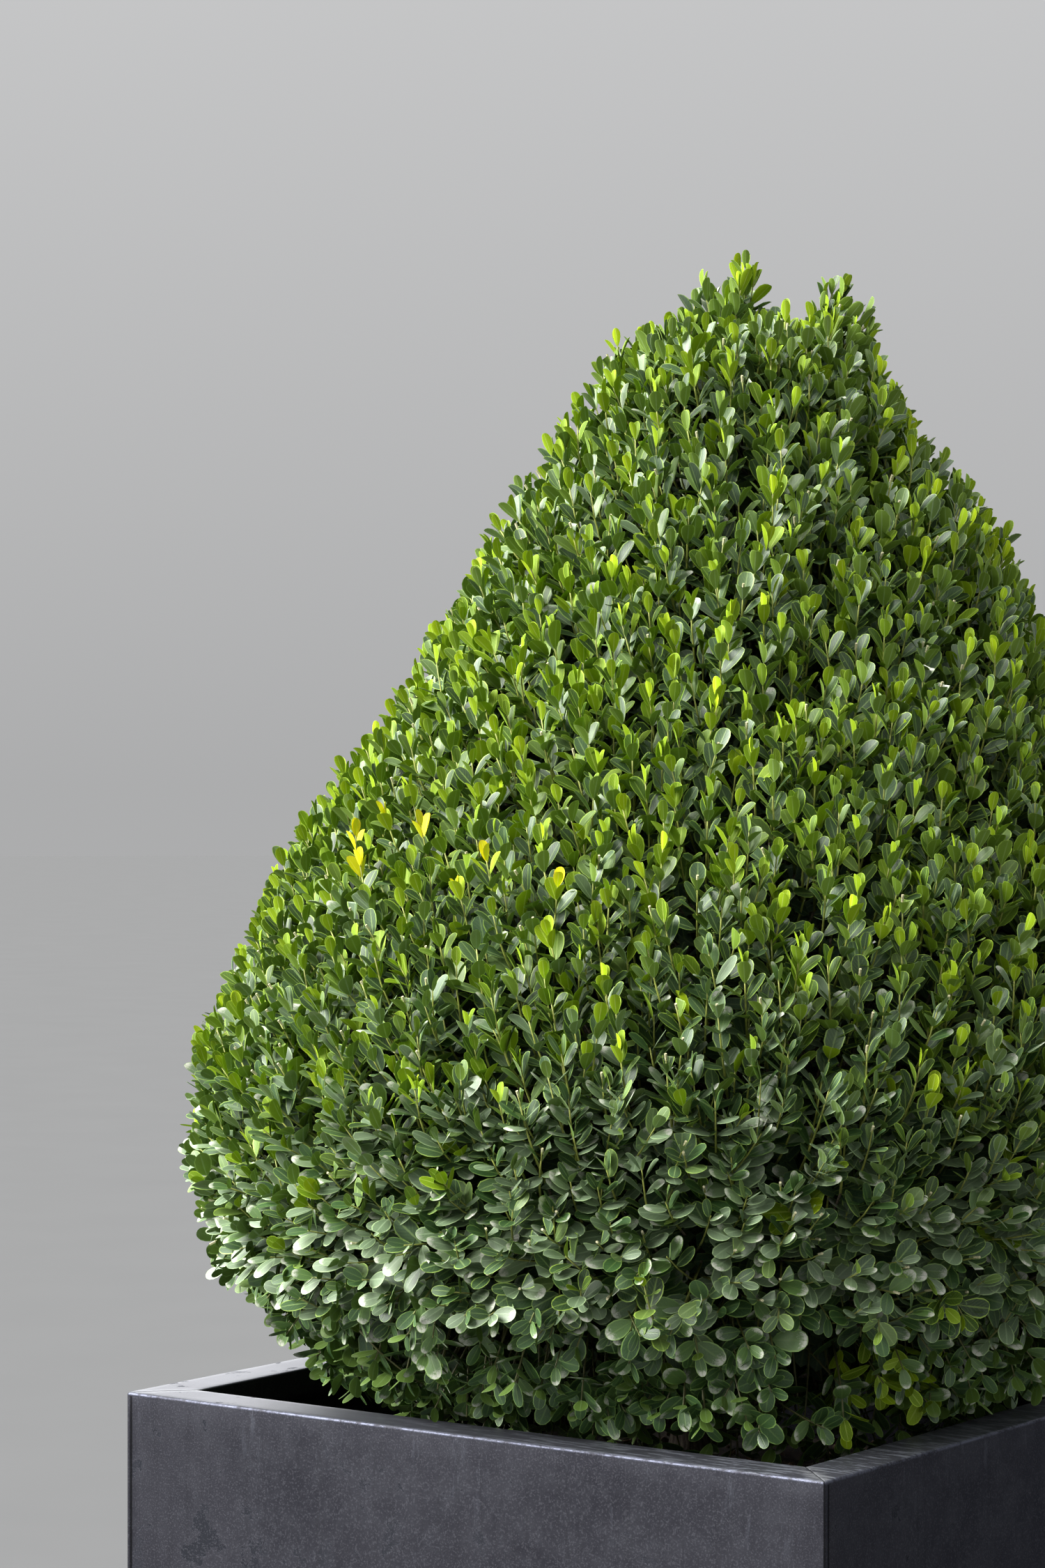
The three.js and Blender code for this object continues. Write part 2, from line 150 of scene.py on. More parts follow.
# %% [markdown]
# Finishes are node trees. Writing them node by node is hard to read, so a small class wraps an
# output socket and overloads Python's operators: an expression on two values adds the Math nodes
# that work it out. Colours don't go through Math nodes, which would turn them grey: they go
# through Mix. All other nodes come from one method.

# %% Shader helper
class Value:
    """An output socket of a shader node. Arithmetic on it adds Math nodes to its tree."""

    def __init__(self, finish, socket):
        self.finish = finish
        self.socket = socket

    def __add__(self, other):
        return self.finish.math("ADD", self, other)

    def __sub__(self, other):
        return self.finish.math("SUBTRACT", self, other)

    def __rsub__(self, other):
        return self.finish.math("SUBTRACT", other, self)

    def __mul__(self, other):
        return self.finish.math("MULTIPLY", self, other)

    __radd__ = __add__


class Finish:
    """A material with a Principled BSDF, to which nodes are added one call at a time."""

    def __init__(self, name):
        self.material = bpy.data.materials.new(name)
        self.material.use_nodes = True
        self.tree = self.material.node_tree
        self.shader = self.tree.nodes["Principled BSDF"]

    def node(self, kind, settings=None, sockets=None, output=0):
        """Add a node: its settings are set first, then its sockets get their values or links."""
        made = self.tree.nodes.new(kind)
        for key, value in (settings or {}).items():
            setattr(made, key, value)
        for key, value in (sockets or {}).items():
            self.connect(made.inputs[key], value)
        return Value(self, made.outputs[output])

    def connect(self, socket, value):
        """Link a socket to a Value, or set it to a plain number or colour."""
        if isinstance(value, Value):
            self.tree.links.new(value.socket, socket)
        elif socket.type == "RGBA":
            socket.default_value = (*value, 1.0)
        else:
            socket.default_value = value

    def math(self, operation, first, second=0.0):
        """One Math node on one or two values."""
        return self.node("ShaderNodeMath", {"operation": operation}, {0: first, 1: second})

    def mix_values(self, mask, first, second):
        """The first number where the mask is 0, the second where it is 1."""
        return first + (second - first) * mask

    def mix(self, mask, first, second):
        """The first colour where the mask is 0, the second where it is 1."""
        settings = {"data_type": "RGBA", "clamp_factor": True}
        return self.node("ShaderNodeMix", settings, {0: mask, 6: first, 7: second}, output=2)

    def step(self, value, low, high):
        """A smooth mask: 0 where the value is below low, 1 above high."""
        sockets = {"Value": value, "From Min": low, "From Max": high}
        return self.node("ShaderNodeMapRange", {"interpolation_type": "SMOOTHSTEP"}, sockets)

    def axes(self, vector):
        """The three numbers of a vector, each as a Value."""
        split = self.node("ShaderNodeSeparateXYZ", {}, {0: vector}).socket.node
        return [Value(self, socket) for socket in split.outputs]

    def object_place(self):
        """Object coordinates: the point's place in metres, as no piece is moved."""
        return self.node("ShaderNodeTexCoord", output=3)

    def stretched(self, place, scale):
        """Coordinates scaled by a factor for each axis."""
        return self.node("ShaderNodeMapping", {}, {"Vector": place, "Scale": scale})

    def noise(self, place, scale, detail=4.0, roughness=0.55):
        """A noise texture round 0.5: scale is its cells in a metre."""
        sockets = {"Vector": place, "Scale": scale, "Detail": detail, "Roughness": roughness}
        return self.node("ShaderNodeTexNoise", {}, sockets)

    def bump(self, height, strength, distance):
        """Fine relief for the shading alone, distance metres deep."""
        sockets = {"Height": height, "Strength": strength, "Distance": distance}
        return self.node("ShaderNodeBump", {}, sockets)

    def surface(self, **sockets):
        """Set or link sockets of the Principled BSDF, named with _ for a space."""
        for key, value in sockets.items():
            self.connect(self.shader.inputs[key.replace("_", " ")], value)
        return self.material


# %% [markdown]
# The planter is folded from dark patinated sheet metal. Its rim is a broad flat fold, mitred at
# the corners, with a flange turned down inside. A box with an inset would have dead sharp edges
# and perfectly flat walls, which real sheet never has.
# So one profile is drawn, from the middle of the floor up the wall, over the rim and back down
# inside, with a small radius at each fold, and it is carried round a rounded square. Each wall then
# bows out by a millimetre or two, as sheet does between its folds.

# %% Planter profile
SIDE = 0.700
HEIGHT = 0.700
SHEET = 0.003
RIM_WIDTH = 0.044
FLANGE = 0.026
FOLD_RADIUS = 0.0024
EDGE_RADIUS = 0.0020
HALF = SIDE / 2
LIP = HALF - RIM_WIDTH


def fold(centre, radius, first, last, steps=5):
    """Points on an arc round a centre, from one angle to another, in degrees."""
    angle = np.radians(np.linspace(first, last, steps))
    return np.stack([centre[0] + radius * np.cos(angle), centre[1] + radius * np.sin(angle)], axis=1)


def run(first, last, steps):
    """Points on a straight run, without its two ends."""
    share = np.linspace(0.0, 1.0, steps + 2)[1:-1, None]
    return np.array(first) * (1 - share) + np.array(last) * share


OUTER = HALF - FOLD_RADIUS
profile = np.concatenate([
    run((0.0, 0.0), (OUTER, 0.0), 10),
    fold((OUTER, FOLD_RADIUS), FOLD_RADIUS, -90, 0),
    run((HALF, FOLD_RADIUS), (HALF, HEIGHT - FOLD_RADIUS), 34),
    fold((OUTER, HEIGHT - FOLD_RADIUS), FOLD_RADIUS, 0, 90, 7),
    run((OUTER, HEIGHT), (LIP + EDGE_RADIUS, HEIGHT), 5),
    fold((LIP + EDGE_RADIUS, HEIGHT - EDGE_RADIUS), EDGE_RADIUS, 90, 180),
    run((LIP, HEIGHT - EDGE_RADIUS), (LIP, HEIGHT - FLANGE), 4),
    [(LIP, HEIGHT - FLANGE), (LIP + SHEET, HEIGHT - FLANGE)],
    run((LIP + SHEET, HEIGHT - FLANGE), (LIP + SHEET, HEIGHT - SHEET), 3),
    [(LIP + SHEET, HEIGHT - SHEET), (HALF - SHEET, HEIGHT - SHEET)],
    run((HALF - SHEET, HEIGHT - SHEET), (HALF - SHEET, SHEET), 16),
    [(HALF - SHEET, SHEET)],
    run((HALF - SHEET, SHEET), (0.0, SHEET), 8),
])
print("planter profile:", len(profile), "points")

# %% [markdown]
# A rounded square is a smaller square with a circle swept along it: each station of the path has a
# corner place c, from -1 to 1, and an outward direction n, and the point at a distance h from the
# middle is (h - r) c + r n. That keeps every ring parallel to the outermost, so the corners mitre
# by themselves. Along the mitres the rim sinks by less than a millimetre, where the weld was ground,
# and each wall has a narrow groove beside one corner, where it laps over its neighbour.

# %% Planter shape
WALL_STATIONS = 44
CORNER_STATIONS = 7
WALL_BOW = 0.0022
DENT = 0.0006
DENT_CELL = 0.16
MITRE_SINK = 0.0007
MITRE_HALF = 0.0009
GROOVE_PLACE = 0.0052
GROOVE_HALF = 0.0012
GROOVE_DEPTH = 0.0018
groove_c = (GROOVE_PLACE - HALF + np.array([-GROOVE_HALF, 0.0, GROOVE_HALF])) / (HALF - EDGE_RADIUS)


def square_path():
    """Corner places c and outward directions n of the stations round a square, both (n, 2)."""
    along = np.concatenate([groove_c, np.linspace(-1.0, 1.0, WALL_STATIONS)[1:-1]])
    turn = np.radians(np.linspace(-90.0, 0.0, CORNER_STATIONS))
    wall_c = np.stack([np.ones_like(along), along], axis=1)
    wall_n = np.tile([1.0, 0.0], (len(along), 1))
    corner_c = np.tile([1.0, -1.0], (len(turn), 1))
    corner_n = np.stack([np.cos(turn), np.sin(turn)], axis=1)
    places = np.concatenate([corner_c, wall_c])
    ways = np.concatenate([corner_n, wall_n])
    turns = [np.array([[math.cos(a), math.sin(a)], [-math.sin(a), math.cos(a)]])
             for a in np.arange(4) * math.pi / 2]
    return (np.concatenate([places @ t for t in turns]), np.concatenate([ways @ t for t in turns]))


def grid_faces(rows, columns, closed=True):
    """Quads between neighbouring rows and columns of a grid, closed round the columns."""
    row, column = np.meshgrid(np.arange(rows - 1), np.arange(columns if closed else columns - 1),
                              indexing="ij")
    after = (column + 1) % columns
    quads = [row * columns + column, row * columns + after,
             (row + 1) * columns + after, (row + 1) * columns + column]
    return np.stack(quads, axis=-1).reshape(-1, 4)


def planter_points():
    """The profile carried round the path, then bowed, dented and sunk at the mitres."""
    places, ways = square_path()
    reach = profile[:, 0][:, None, None]
    radius = np.minimum(EDGE_RADIUS, reach)
    flat = (reach - radius) * places[None] + radius * ways[None]
    level = np.broadcast_to(profile[:, 1][:, None, None], flat[..., :1].shape)
    points = np.concatenate([flat, level], axis=-1)
    along = np.clip(np.min(np.abs(flat), axis=-1) / HALF, 0.0, 1.0)
    up = np.clip(level[..., 0] / HEIGHT, 0.0, 1.0)
    wall = smoothstep(reach[..., 0], LIP + 0.02, HALF - 0.002)
    bow = WALL_BOW * (1 - along**2) * np.sin(math.pi * up) * wall
    bow = bow + DENT * rugged_noise(points, DENT_CELL, 5, 2) * (1 - along**4) * wall * smoothstep(up, 0, 0.1)
    face = np.where(np.abs(ways) > 0.9, np.sign(ways), 0.0)
    points[..., :2] += bow[..., None] * face[None]
    groove = np.min(np.abs(np.abs(places) + groove_c[1]), axis=1) < 1e-6
    started = np.sum(places[:, ::-1] * np.array([1.0, -1.0]) * ways, axis=1) < 0
    outside = (reach[..., 0] >= HALF - 1e-6) & (level[..., 0] > 0.01) & (level[..., 0] < HEIGHT - 0.01)
    points[..., :2] -= GROOVE_DEPTH * (outside & (groove & started)[None])[..., None] * ways[None]
    on_rim = (level[..., 0] > HEIGHT - 1e-4) & (reach[..., 0] > LIP)
    mitre = np.abs(np.abs(flat[..., 0]) - np.abs(flat[..., 1])) < MITRE_HALF
    points[..., 2] -= MITRE_SINK * (on_rim & mitre)
    return points


# %% [markdown]
# The patina is the planter's whole character: a graphite grey with a fine grain, cloudy at several
# sizes. Rain has left pale runs under the rim and dark crusts lower down. The rim is brushed by
# hands and leaves and paler round its ground corners. Its pale brush marks on the right half are
# partly wear and partly painted light, where that part of the rim is lit. Its folded edge is worn
# to a thin bluish line, which is partly wear and partly a painted highlight. The groove beside one
# corner is painted dark, which is painted shade in the groove.
# It could be one noise on the base colour, but each of these marks has its own scale and its own
# gloss, so each gets a mask, and the masks drive colour, roughness and bump together.

# %% Planter finish
def metal_finish():
    """Graphite sheet. A mark's mask is a stepped noise times the zone where that mark belongs."""
    f = Finish("patinated_metal")
    place = f.object_place()
    x, y, z = f.axes(place)
    across_x, across_y = f.math("ABSOLUTE", x), f.math("ABSOLUTE", y)
    reach = f.math("MAXIMUM", across_x, across_y)
    short = f.math("MINIMUM", across_x, across_y)
    below = HEIGHT - z

    # noises, from clouds as wide as a hand down to grain
    clouds = f.noise(place, 5.0, 8.0, 0.66)
    mottle = f.noise(place, 28.0, 8.0, 0.70)
    flecks = f.noise(place, 210.0, 4.0, 0.70)
    grain = f.noise(place, 640.0, 2.0, 0.60)
    runs = f.noise(f.stretched(place, (75.0, 75.0, 13.0)), 1.0, 5.0, 0.65)
    streaks = f.noise(f.stretched(place, (150.0, 150.0, 5.0)), 1.0, 4.0, 0.6)
    turned = f.node("ShaderNodeMapping", {}, {"Vector": place, "Rotation": (0.0, 0.0, -0.62),
                                              "Scale": (38.0, 230.0, 1.0)})
    brushing = f.noise(turned, 1.0, 4.0, 0.75)

    # masks: where each mark lies
    on_rim = f.step(z, HEIGHT - 0.0012, HEIGHT - 0.0004)
    ground = (1 - f.step(reach - short + mottle * 0.03, 0.016, 0.034)) * on_rim
    gap = f.math("ABSOLUTE", reach - short)
    seam = (1 - f.step(gap + flecks * 0.0012, 0.0009, 0.0019)) * f.step(reach, LIP - 0.001, LIP)
    edge = f.step(reach, HALF - 0.0030, HALF - 0.0016) * (1 - f.step(below, 0.0012, 0.0034))
    # the folded edge's thin bluish line: partly wear, partly a painted highlight
    rubbed_and_highlight = edge * f.step(flecks * 0.6 + mottle * 0.6, 0.50, 0.68)
    # the groove beside one corner, whose dark colour is painted shade
    first = f.math("ABSOLUTE", y * f.math("SIGN", x) + (HALF - GROOVE_PLACE))
    second = f.math("ABSOLUTE", x * f.math("SIGN", y) - (HALF - GROOVE_PLACE))
    beside = f.step(across_x - across_y, -0.001, 0.001)
    lap_shade = 1 - f.step(f.mix_values(beside, second, first), GROOVE_HALF * 0.6, GROOVE_HALF * 1.3)
    lap_shade = lap_shade * f.step(below, 0.002, 0.004)
    crust = f.step(mottle + f.step(below, 0.035, 0.15) * 0.08 - f.step(below, 0.2, 0.5) * 0.04, 0.61, 0.635)
    crust = crust * f.step(clouds, 0.40, 0.54)
    drips = f.step(runs, 0.585, 0.70) * (1 - f.step(below, 0.02, 0.10)) * f.step(below, 0.001, 0.006)

    # colours, from the sheet itself up to the marks that lie on it
    colour = f.mix(f.step(clouds, 0.32, 0.68), (0.021, 0.021, 0.027), (0.035, 0.035, 0.043))
    colour = f.mix(f.step(mottle, 0.42, 0.66) * 0.45, colour, (0.050, 0.051, 0.061))
    colour = f.mix(f.step(streaks, 0.48, 0.75) * 0.25, colour, (0.017, 0.017, 0.020))
    colour = f.mix(drips * 0.32, colour, (0.085, 0.090, 0.110))
    colour = f.mix(crust * 0.60, colour, (0.009, 0.011, 0.015))
    colour = f.mix(f.step(grain, 0.50, 0.68) * 0.36, colour, (0.095, 0.096, 0.112))
    colour = f.mix(f.step(flecks, 0.72, 0.78) * 0.4, colour, (0.13, 0.13, 0.14))
    # the rim's right half, where the pale brush marks are partly wear and partly painted light
    right_half = f.step(x, -0.20, 0.25)
    strokes_and_painted_light = f.step(brushing, 0.49, 0.58) * right_half * (0.6 + f.step(clouds, 0.40, 0.62) * 0.3)
    colour = f.mix(on_rim * 0.8, colour, (0.060, 0.062, 0.074))
    # pale brush marks on the rim: partly wear, partly painted light where the rim is lit
    colour = f.mix(on_rim * strokes_and_painted_light, colour, (0.225, 0.240, 0.280))
    ground = ground * f.mix_values(right_half, 0.55, f.step(brushing + flecks * 0.3, 0.50, 0.72))
    colour = f.mix(ground, colour, (0.205, 0.212, 0.226))
    # the bluish edge line, partly wear and partly a painted highlight
    colour = f.mix(rubbed_and_highlight * 0.55, colour, (0.13, 0.14, 0.19))
    colour = f.mix(seam * 0.80, colour, (0.012, 0.012, 0.013))
    # painted shade in the groove beside the corner
    colour = f.mix(lap_shade * 0.85, colour, (0.008, 0.008, 0.009))
    rough = 0.40 + clouds * 0.14 + grain * 0.10 + crust * 0.20 - on_rim * 0.06 - rubbed_and_highlight * 0.08
    height = grain * 0.22 + flecks * 0.25 + mottle * 0.5 + drips * 0.8 - crust * 0.8 - seam + rubbed_and_highlight * 0.4
    return f.surface(Base_Color=colour, Roughness=rough, Metallic=0.80 - on_rim * 0.45,
                     Specular_Tint=(0.42, 0.44, 0.50), Normal=f.bump(height, 0.30, 0.0006))


METAL = metal_finish()

# %% [markdown]
# The profile starts and ends on the planter's middle line, under its floor and on top of it. Faces
# join each ring to the next, and both ends close with a fan of triangles round a point in the
# middle, so the shell has no hole and no two points in the same place.

# %% Planter mesh
points = planter_points()
rows, columns = points.shape[:2]
middles = np.array([[0.0, 0.0, 0.0], [0.0, 0.0, SHEET]])
here = np.arange(columns)
after = (here + 1) % columns
count = rows * columns
floor_fan = np.stack([np.full(columns, count), after, here], axis=1)
inner_fan = np.stack([np.full(columns, count + 1), (rows - 1) * columns + here,
                      (rows - 1) * columns + after], axis=1)
planter = add_piece("planter_shell", np.concatenate([points.reshape(-1, 3), middles]),
                    [grid_faces(rows, columns), floor_fan, inner_fan], METAL)
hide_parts("planter")

# %% [markdown]
# The planter is filled to 95 mm below its rim. Potting soil is crumbly and sinks a little towards
# the walls, so its top is a height field: a gentle mound, plus rugged noise for clods. A flat sheet
# would show as a lid wherever light falls in past the leaves.
# One closed shell holds the top, the sides and the underside, as the solid that it stands for does.

# %% Soil shape
SOIL_TOP = 0.605
SOIL_GAP = 0.0006
SOIL_HALF = HALF - SHEET - SOIL_GAP
SOIL_STEPS = 91
SOIL_SINK = 0.004
SOIL_FALL = 0.016
CLOD_HEIGHT = 0.0075
CLOD_CELL = 0.055
CLOD_LIMITS = (-0.012, 0.0055)


def soil_height(x, y):
    """Height of the soil's top: a mound that falls off to the walls, with clods."""
    reach = np.maximum(np.abs(x), np.abs(y)) / SOIL_HALF
    points = np.stack([x, y, np.zeros_like(x)], axis=-1)
    clods = CLOD_HEIGHT * rugged_noise(points, CLOD_CELL, 21, 5)
    return SOIL_TOP - SOIL_SINK - SOIL_FALL * reach**3 + np.clip(clods, *CLOD_LIMITS)


def soil_shell():
    """Points and faces of the soil: a height field, its skirt, and a flat underside."""
    line = np.linspace(-SOIL_HALF, SOIL_HALF, SOIL_STEPS)
    x, y = np.meshgrid(line, line, indexing="ij")
    top = np.stack([x, y, soil_height(x, y)], axis=-1).reshape(-1, 3)
    number = np.arange(SOIL_STEPS**2).reshape(SOIL_STEPS, SOIL_STEPS)
    quads = np.stack([number[:-1, :-1], number[1:, :-1], number[1:, 1:], number[:-1, 1:]], axis=-1)
    edge = np.concatenate([number[:-1, 0], number[-1, :-1], number[:0:-1, -1], number[0, :0:-1]])
    under = top[edge].copy()
    under[:, 2] = SHEET + SOIL_GAP
    low = len(top) + np.arange(len(edge))
    skirt = np.stack([edge, low, np.roll(low, -1), np.roll(edge, -1)], axis=1)
    middle = len(top) + len(edge)
    fan = np.stack([np.full(len(edge), middle), np.roll(low, -1), low], axis=1)
    points = np.concatenate([top, under, [[0.0, 0.0, SHEET + SOIL_GAP]]])
    return points, [quads.reshape(-1, 4), skirt, fan]


def soil_finish():
    """Dark crumbly soil with pale fibres, glossier where the noise says that it is damp."""
    f = Finish("potting_soil")
    place = f.object_place()
    clods = f.noise(place, 60.0, 8.0, 0.7)
    fibres = f.noise(f.stretched(place, (240.0, 90.0, 240.0)), 1.0, 5.0, 0.7)
    damp = f.noise(place, 7.0, 2.0, 0.5)
    colour = f.mix(f.step(clods, 0.3, 0.7), (0.010, 0.007, 0.005), (0.052, 0.035, 0.023))
    colour = f.mix(f.step(fibres, 0.6, 0.72), colour, (0.120, 0.086, 0.056))
    rough = 0.98 - f.step(damp, 0.5, 0.75) * 0.25
    return f.surface(Base_Color=colour, Roughness=rough, Normal=f.bump(clods, 0.8, 0.004))


soil_points, soil_faces = soil_shell()
soil = add_piece("soil_bed", soil_points, soil_faces, soil_finish())
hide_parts("soil")

# %% [markdown]
# Potting soil is full of composted bark. Its chips could be scattered as instances of one object,
# but then all of them would be the same, so each is worked out: the twelve corners of an
# icosahedron, pushed in and out, squashed and turned its own way. They are laid out like the seeds
# of a sunflower, each turned on by the golden angle, which leaves no rows and no bald spots.

# %% Bark crumbs on the soil
CRUMBS = 620
CRUMB_MARGIN = 0.016
CRUMB_SPREAD = 1.25
CRUMB_LIFT = 0.0015
CRUMB_SIZES = (0.003, 0.0085)
TRUNK_ROOM = 0.045
GOLDEN_ANGLE = math.pi * (3.0 - math.sqrt(5.0))
luck = np.random.default_rng(11)


def turns(count, source):
    """Random rotation matrices (count, 3, 3), from unit quaternions."""
    w, x, y, z = unit(source.normal(size=(count, 4))).T
    return np.stack([
        np.stack([1 - 2 * (y * y + z * z), 2 * (x * y - z * w), 2 * (x * z + y * w)], axis=-1),
        np.stack([2 * (x * y + z * w), 1 - 2 * (x * x + z * z), 2 * (y * z - x * w)], axis=-1),
        np.stack([2 * (x * z - y * w), 2 * (y * z + x * w), 1 - 2 * (x * x + y * y)], axis=-1),
    ], axis=1)


def icosahedron():
    """The twelve corners of an icosahedron on the unit sphere, and its twenty faces."""
    ring = np.arange(5) * 2 * math.pi / 5
    level = 1 / math.sqrt(5)
    wide = 2 * level
    upper = np.stack([wide * np.cos(ring), wide * np.sin(ring), np.full(5, level)], axis=1)
    lower = np.stack([wide * np.cos(ring + math.pi / 5), wide * np.sin(ring + math.pi / 5),
                      np.full(5, -level)], axis=1)
    corners = np.concatenate([[[0, 0, 1.0]], upper, lower, [[0, 0, -1.0]]])
    k = np.arange(5)
    after = (k + 1) % 5
    faces = np.concatenate([
        np.stack([np.zeros(5, int), 1 + k, 1 + after], axis=1),
        np.stack([1 + k, 6 + k, 1 + after], axis=1),
        np.stack([1 + after, 6 + k, 6 + after], axis=1),
        np.stack([np.full(5, 11), 6 + after, 6 + k], axis=1),
    ])
    return corners, faces


def crumb_points(corners):
    """Squashed, roughened and turned copies of the icosahedron, lying on the soil."""
    number = np.arange(CRUMBS)
    limit = SOIL_HALF - CRUMB_MARGIN
    spread = CRUMB_SPREAD * (limit * np.sqrt((number + 0.5) / CRUMBS))
    x = np.clip(spread * np.cos(number * GOLDEN_ANGLE), -limit, limit)
    y = np.clip(spread * np.sin(number * GOLDEN_ANGLE), -limit, limit)
    size = luck.uniform(*CRUMB_SIZES, (CRUMBS, 1, 1)) * luck.uniform(0.35, 1.0, (CRUMBS, 1, 3))
    rough = luck.uniform(0.75, 1.1, (CRUMBS, len(corners), 1))
    stones = np.einsum("nij,nkj->nki", turns(CRUMBS, luck), corners[None] * rough * size)
    keep = np.hypot(x, y) > TRUNK_ROOM
    place = np.stack([x, y, soil_height(x, y) + CRUMB_LIFT], axis=1)
    return (stones + place[:, None, :])[keep]


def crumb_finish():
    """Two browns, dealt out by a coarse noise, with pale fibres along each chip."""
    f = Finish("bark_crumbs")
    place = f.object_place()
    fibres = f.noise(f.stretched(place, (500.0, 120.0, 300.0)), 1.0, 4.0, 0.7)
    kind = f.noise(place, 38.0, 1.0, 0.5)
    colour = f.mix(f.step(kind, 0.4, 0.6), (0.045, 0.026, 0.016), (0.135, 0.086, 0.052))
    colour = f.mix(f.step(fibres, 0.5, 0.75) * 0.6, colour, (0.22, 0.165, 0.115))
    return f.surface(Base_Color=colour, Roughness=0.9, Normal=f.bump(fibres, 0.7, 0.001))


corners, corner_faces = icosahedron()
crumbs = crumb_points(corners)
crumb_faces = np.arange(len(crumbs))[:, None, None] * len(corners) + corner_faces
add_piece("soil_crumbs", crumbs, [crumb_faces.reshape(-1, 3)], crumb_finish(), smooth=False)

# %% [markdown]
# The stem of an old boxwood is short, with a flared foot and a light, finely furrowed bark.
# A limb is a ring of points carried along a curve. The curve runs through the same few points
# as the solid that it stands for, and the radius tapers the same way. On top of that comes the
# relief: ridges that wander along the limb, from noise whose places are stretched along it.

# %% Limbs
FURROW_CELL = 0.0105
FURROW_STRETCH = 0.22
SCALE_CELL = 0.006


def through(knots, steps):
    """A Catmull-Rom curve through the knots (k, 3): each span blends its four nearest knots."""
    knots = np.asarray(knots, dtype=float)
    padded = np.concatenate([[2 * knots[0] - knots[1]], knots, [2 * knots[-1] - knots[-2]]])
    where = np.linspace(0, len(knots) - 1, steps)
    span = np.minimum(where.astype(int), len(knots) - 2)
    t = (where - span)[:, None]
    a, b, c, d = (padded[span + i] for i in range(4))
    return 0.5 * (2 * b + (c - a) * t + (2 * a - 5 * b + 4 * c - d) * t**2
                  + (3 * b - a - 3 * c + d) * t**3)


def tubes(paths, radii, sides):
    """Rings of points round paths (n, steps, 3), with radii (n, steps) or one per point too."""
    along = unit(np.gradient(paths, axis=1))
    chord = unit(paths[:, -1] - paths[:, 0])[:, None]
    pick = np.where(np.abs(chord[..., :1]) < 0.8, np.array([1.0, 0, 0]), np.array([0, 1.0, 0]))
    side = unit(np.cross(along, pick))
    other = np.cross(side, along)
    angle = np.arange(sides) * 2 * math.pi / sides
    ring = (other[:, :, None] * np.cos(angle)[None, None, :, None]
            + side[:, :, None] * np.sin(angle)[None, None, :, None])
    if radii.ndim == 2:
        radii = np.broadcast_to(radii[:, :, None], radii.shape + (sides,))
    return paths[:, :, None] + ring * radii[..., None]


def tube_faces(count, steps, sides):
    """Faces for many tubes: quads along each, and a fan of triangles over each end."""
    walls = grid_faces(steps, sides)[:, ::-1]
    k = np.arange(1, sides - 1)
    end = (steps - 1) * sides
    root = np.stack([np.zeros_like(k), k + 1, k], axis=1)[:, ::-1]
    tip = np.stack([np.full_like(k, end), end + k + 1, end + k], axis=1)
    first = (np.arange(count) * steps * sides)[:, None, None]
    caps = np.concatenate([root, tip])
    return [(first + walls).reshape(-1, 4), (first + caps).reshape(-1, 3)]


def tube_piece(name, rings, material, smooth=True):
    """One piece from the rings (n, steps, sides, 3) of all its tubes."""
    return add_piece(name, rings, tube_faces(*rings.shape[:3]), material, smooth)


def bark_relief(path, sides, radius, depth):
    """How far each point of a limb's rings stands out: furrows along it, and small scales."""
    angle = np.arange(sides) * 2 * math.pi / sides
    length = np.concatenate([[0], np.cumsum(np.linalg.norm(np.diff(path, axis=0), axis=1))])
    wide = radius.mean() * 1.15
    places = np.stack([
        np.broadcast_to(wide * np.cos(angle), (len(path), sides)),
        np.broadcast_to(wide * np.sin(angle), (len(path), sides)),
        np.broadcast_to(length[:, None] * FURROW_STRETCH, (len(path), sides)),
    ], axis=-1)
    furrows = 1 - 2 * np.abs(rugged_noise(places, FURROW_CELL, 31, 3))
    scales = rugged_noise(places * np.array([1, 1, 3.5]), SCALE_CELL, 47, 2)
    return depth * (0.75 * np.clip(furrows, -1, 1) + 0.25 * scales)


# %% [markdown]
# The trunk leans a little, flares to its foot in five low buttresses and is cut flat at soil level.
# The five boughs leave it close together and rise outwards into the crown, which is how a
# boxwood that has been clipped since it was young grows.

# %% Trunk and boughs
UP = np.array([0.0, 0.0, 1.0])
TRUNK_FOOT = SOIL_TOP - 0.003
TRUNK_TOP = 0.722
TRUNK_KNOTS = [(0, 0, SOIL_TOP), (0.0035, -0.002, SOIL_TOP + 0.045), (0.007, 0.005, TRUNK_TOP + 0.008)]
TRUNK_RADII = (0.021, 0.015)
TRUNK_RELIEF = 0.0014
FLARE = 0.013
FLARE_HEIGHT = 0.026
BUTTRESSES = 5
BOUGHS = 5
BOUGH_TOP = 0.776
BOUGH_REACH = 0.178
BOUGH_RADII = (0.0115, 0.0075)
BOUGH_RELIEF = 0.0008
BOUGH_START = 0.639
BOUGH_STEP = 0.005


def trunk_piece(material):
    """The trunk: radius from 21 to 15 mm, a foot of 34 mm, and lobes that fade upwards."""
    steps, sides = 56, 60
    path = through(TRUNK_KNOTS, steps)
    path[0, 2], path[-1, 2] = TRUNK_FOOT, TRUNK_TOP
    t = np.linspace(0, 1, steps)
    flare = np.exp(-t * (TRUNK_TOP - SOIL_TOP) / FLARE_HEIGHT)
    radius = TRUNK_RADII[0] + (TRUNK_RADII[1] - TRUNK_RADII[0]) * t + FLARE * flare
    angle = np.arange(sides) * 2 * math.pi / sides
    lobes = 1 + 0.16 * flare[:, None] * np.cos(BUTTRESSES * angle)
    relief = bark_relief(path, sides, radius, TRUNK_RELIEF)
    rings = tubes(path[None], (radius[:, None] * lobes + relief)[None], sides)
    rings[0, 0, :, 2] = TRUNK_FOOT
    rings[0, -1, :, 2] = TRUNK_TOP
    trunk = tube_piece("trunk_bark", rings, material)
    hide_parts("trunk")


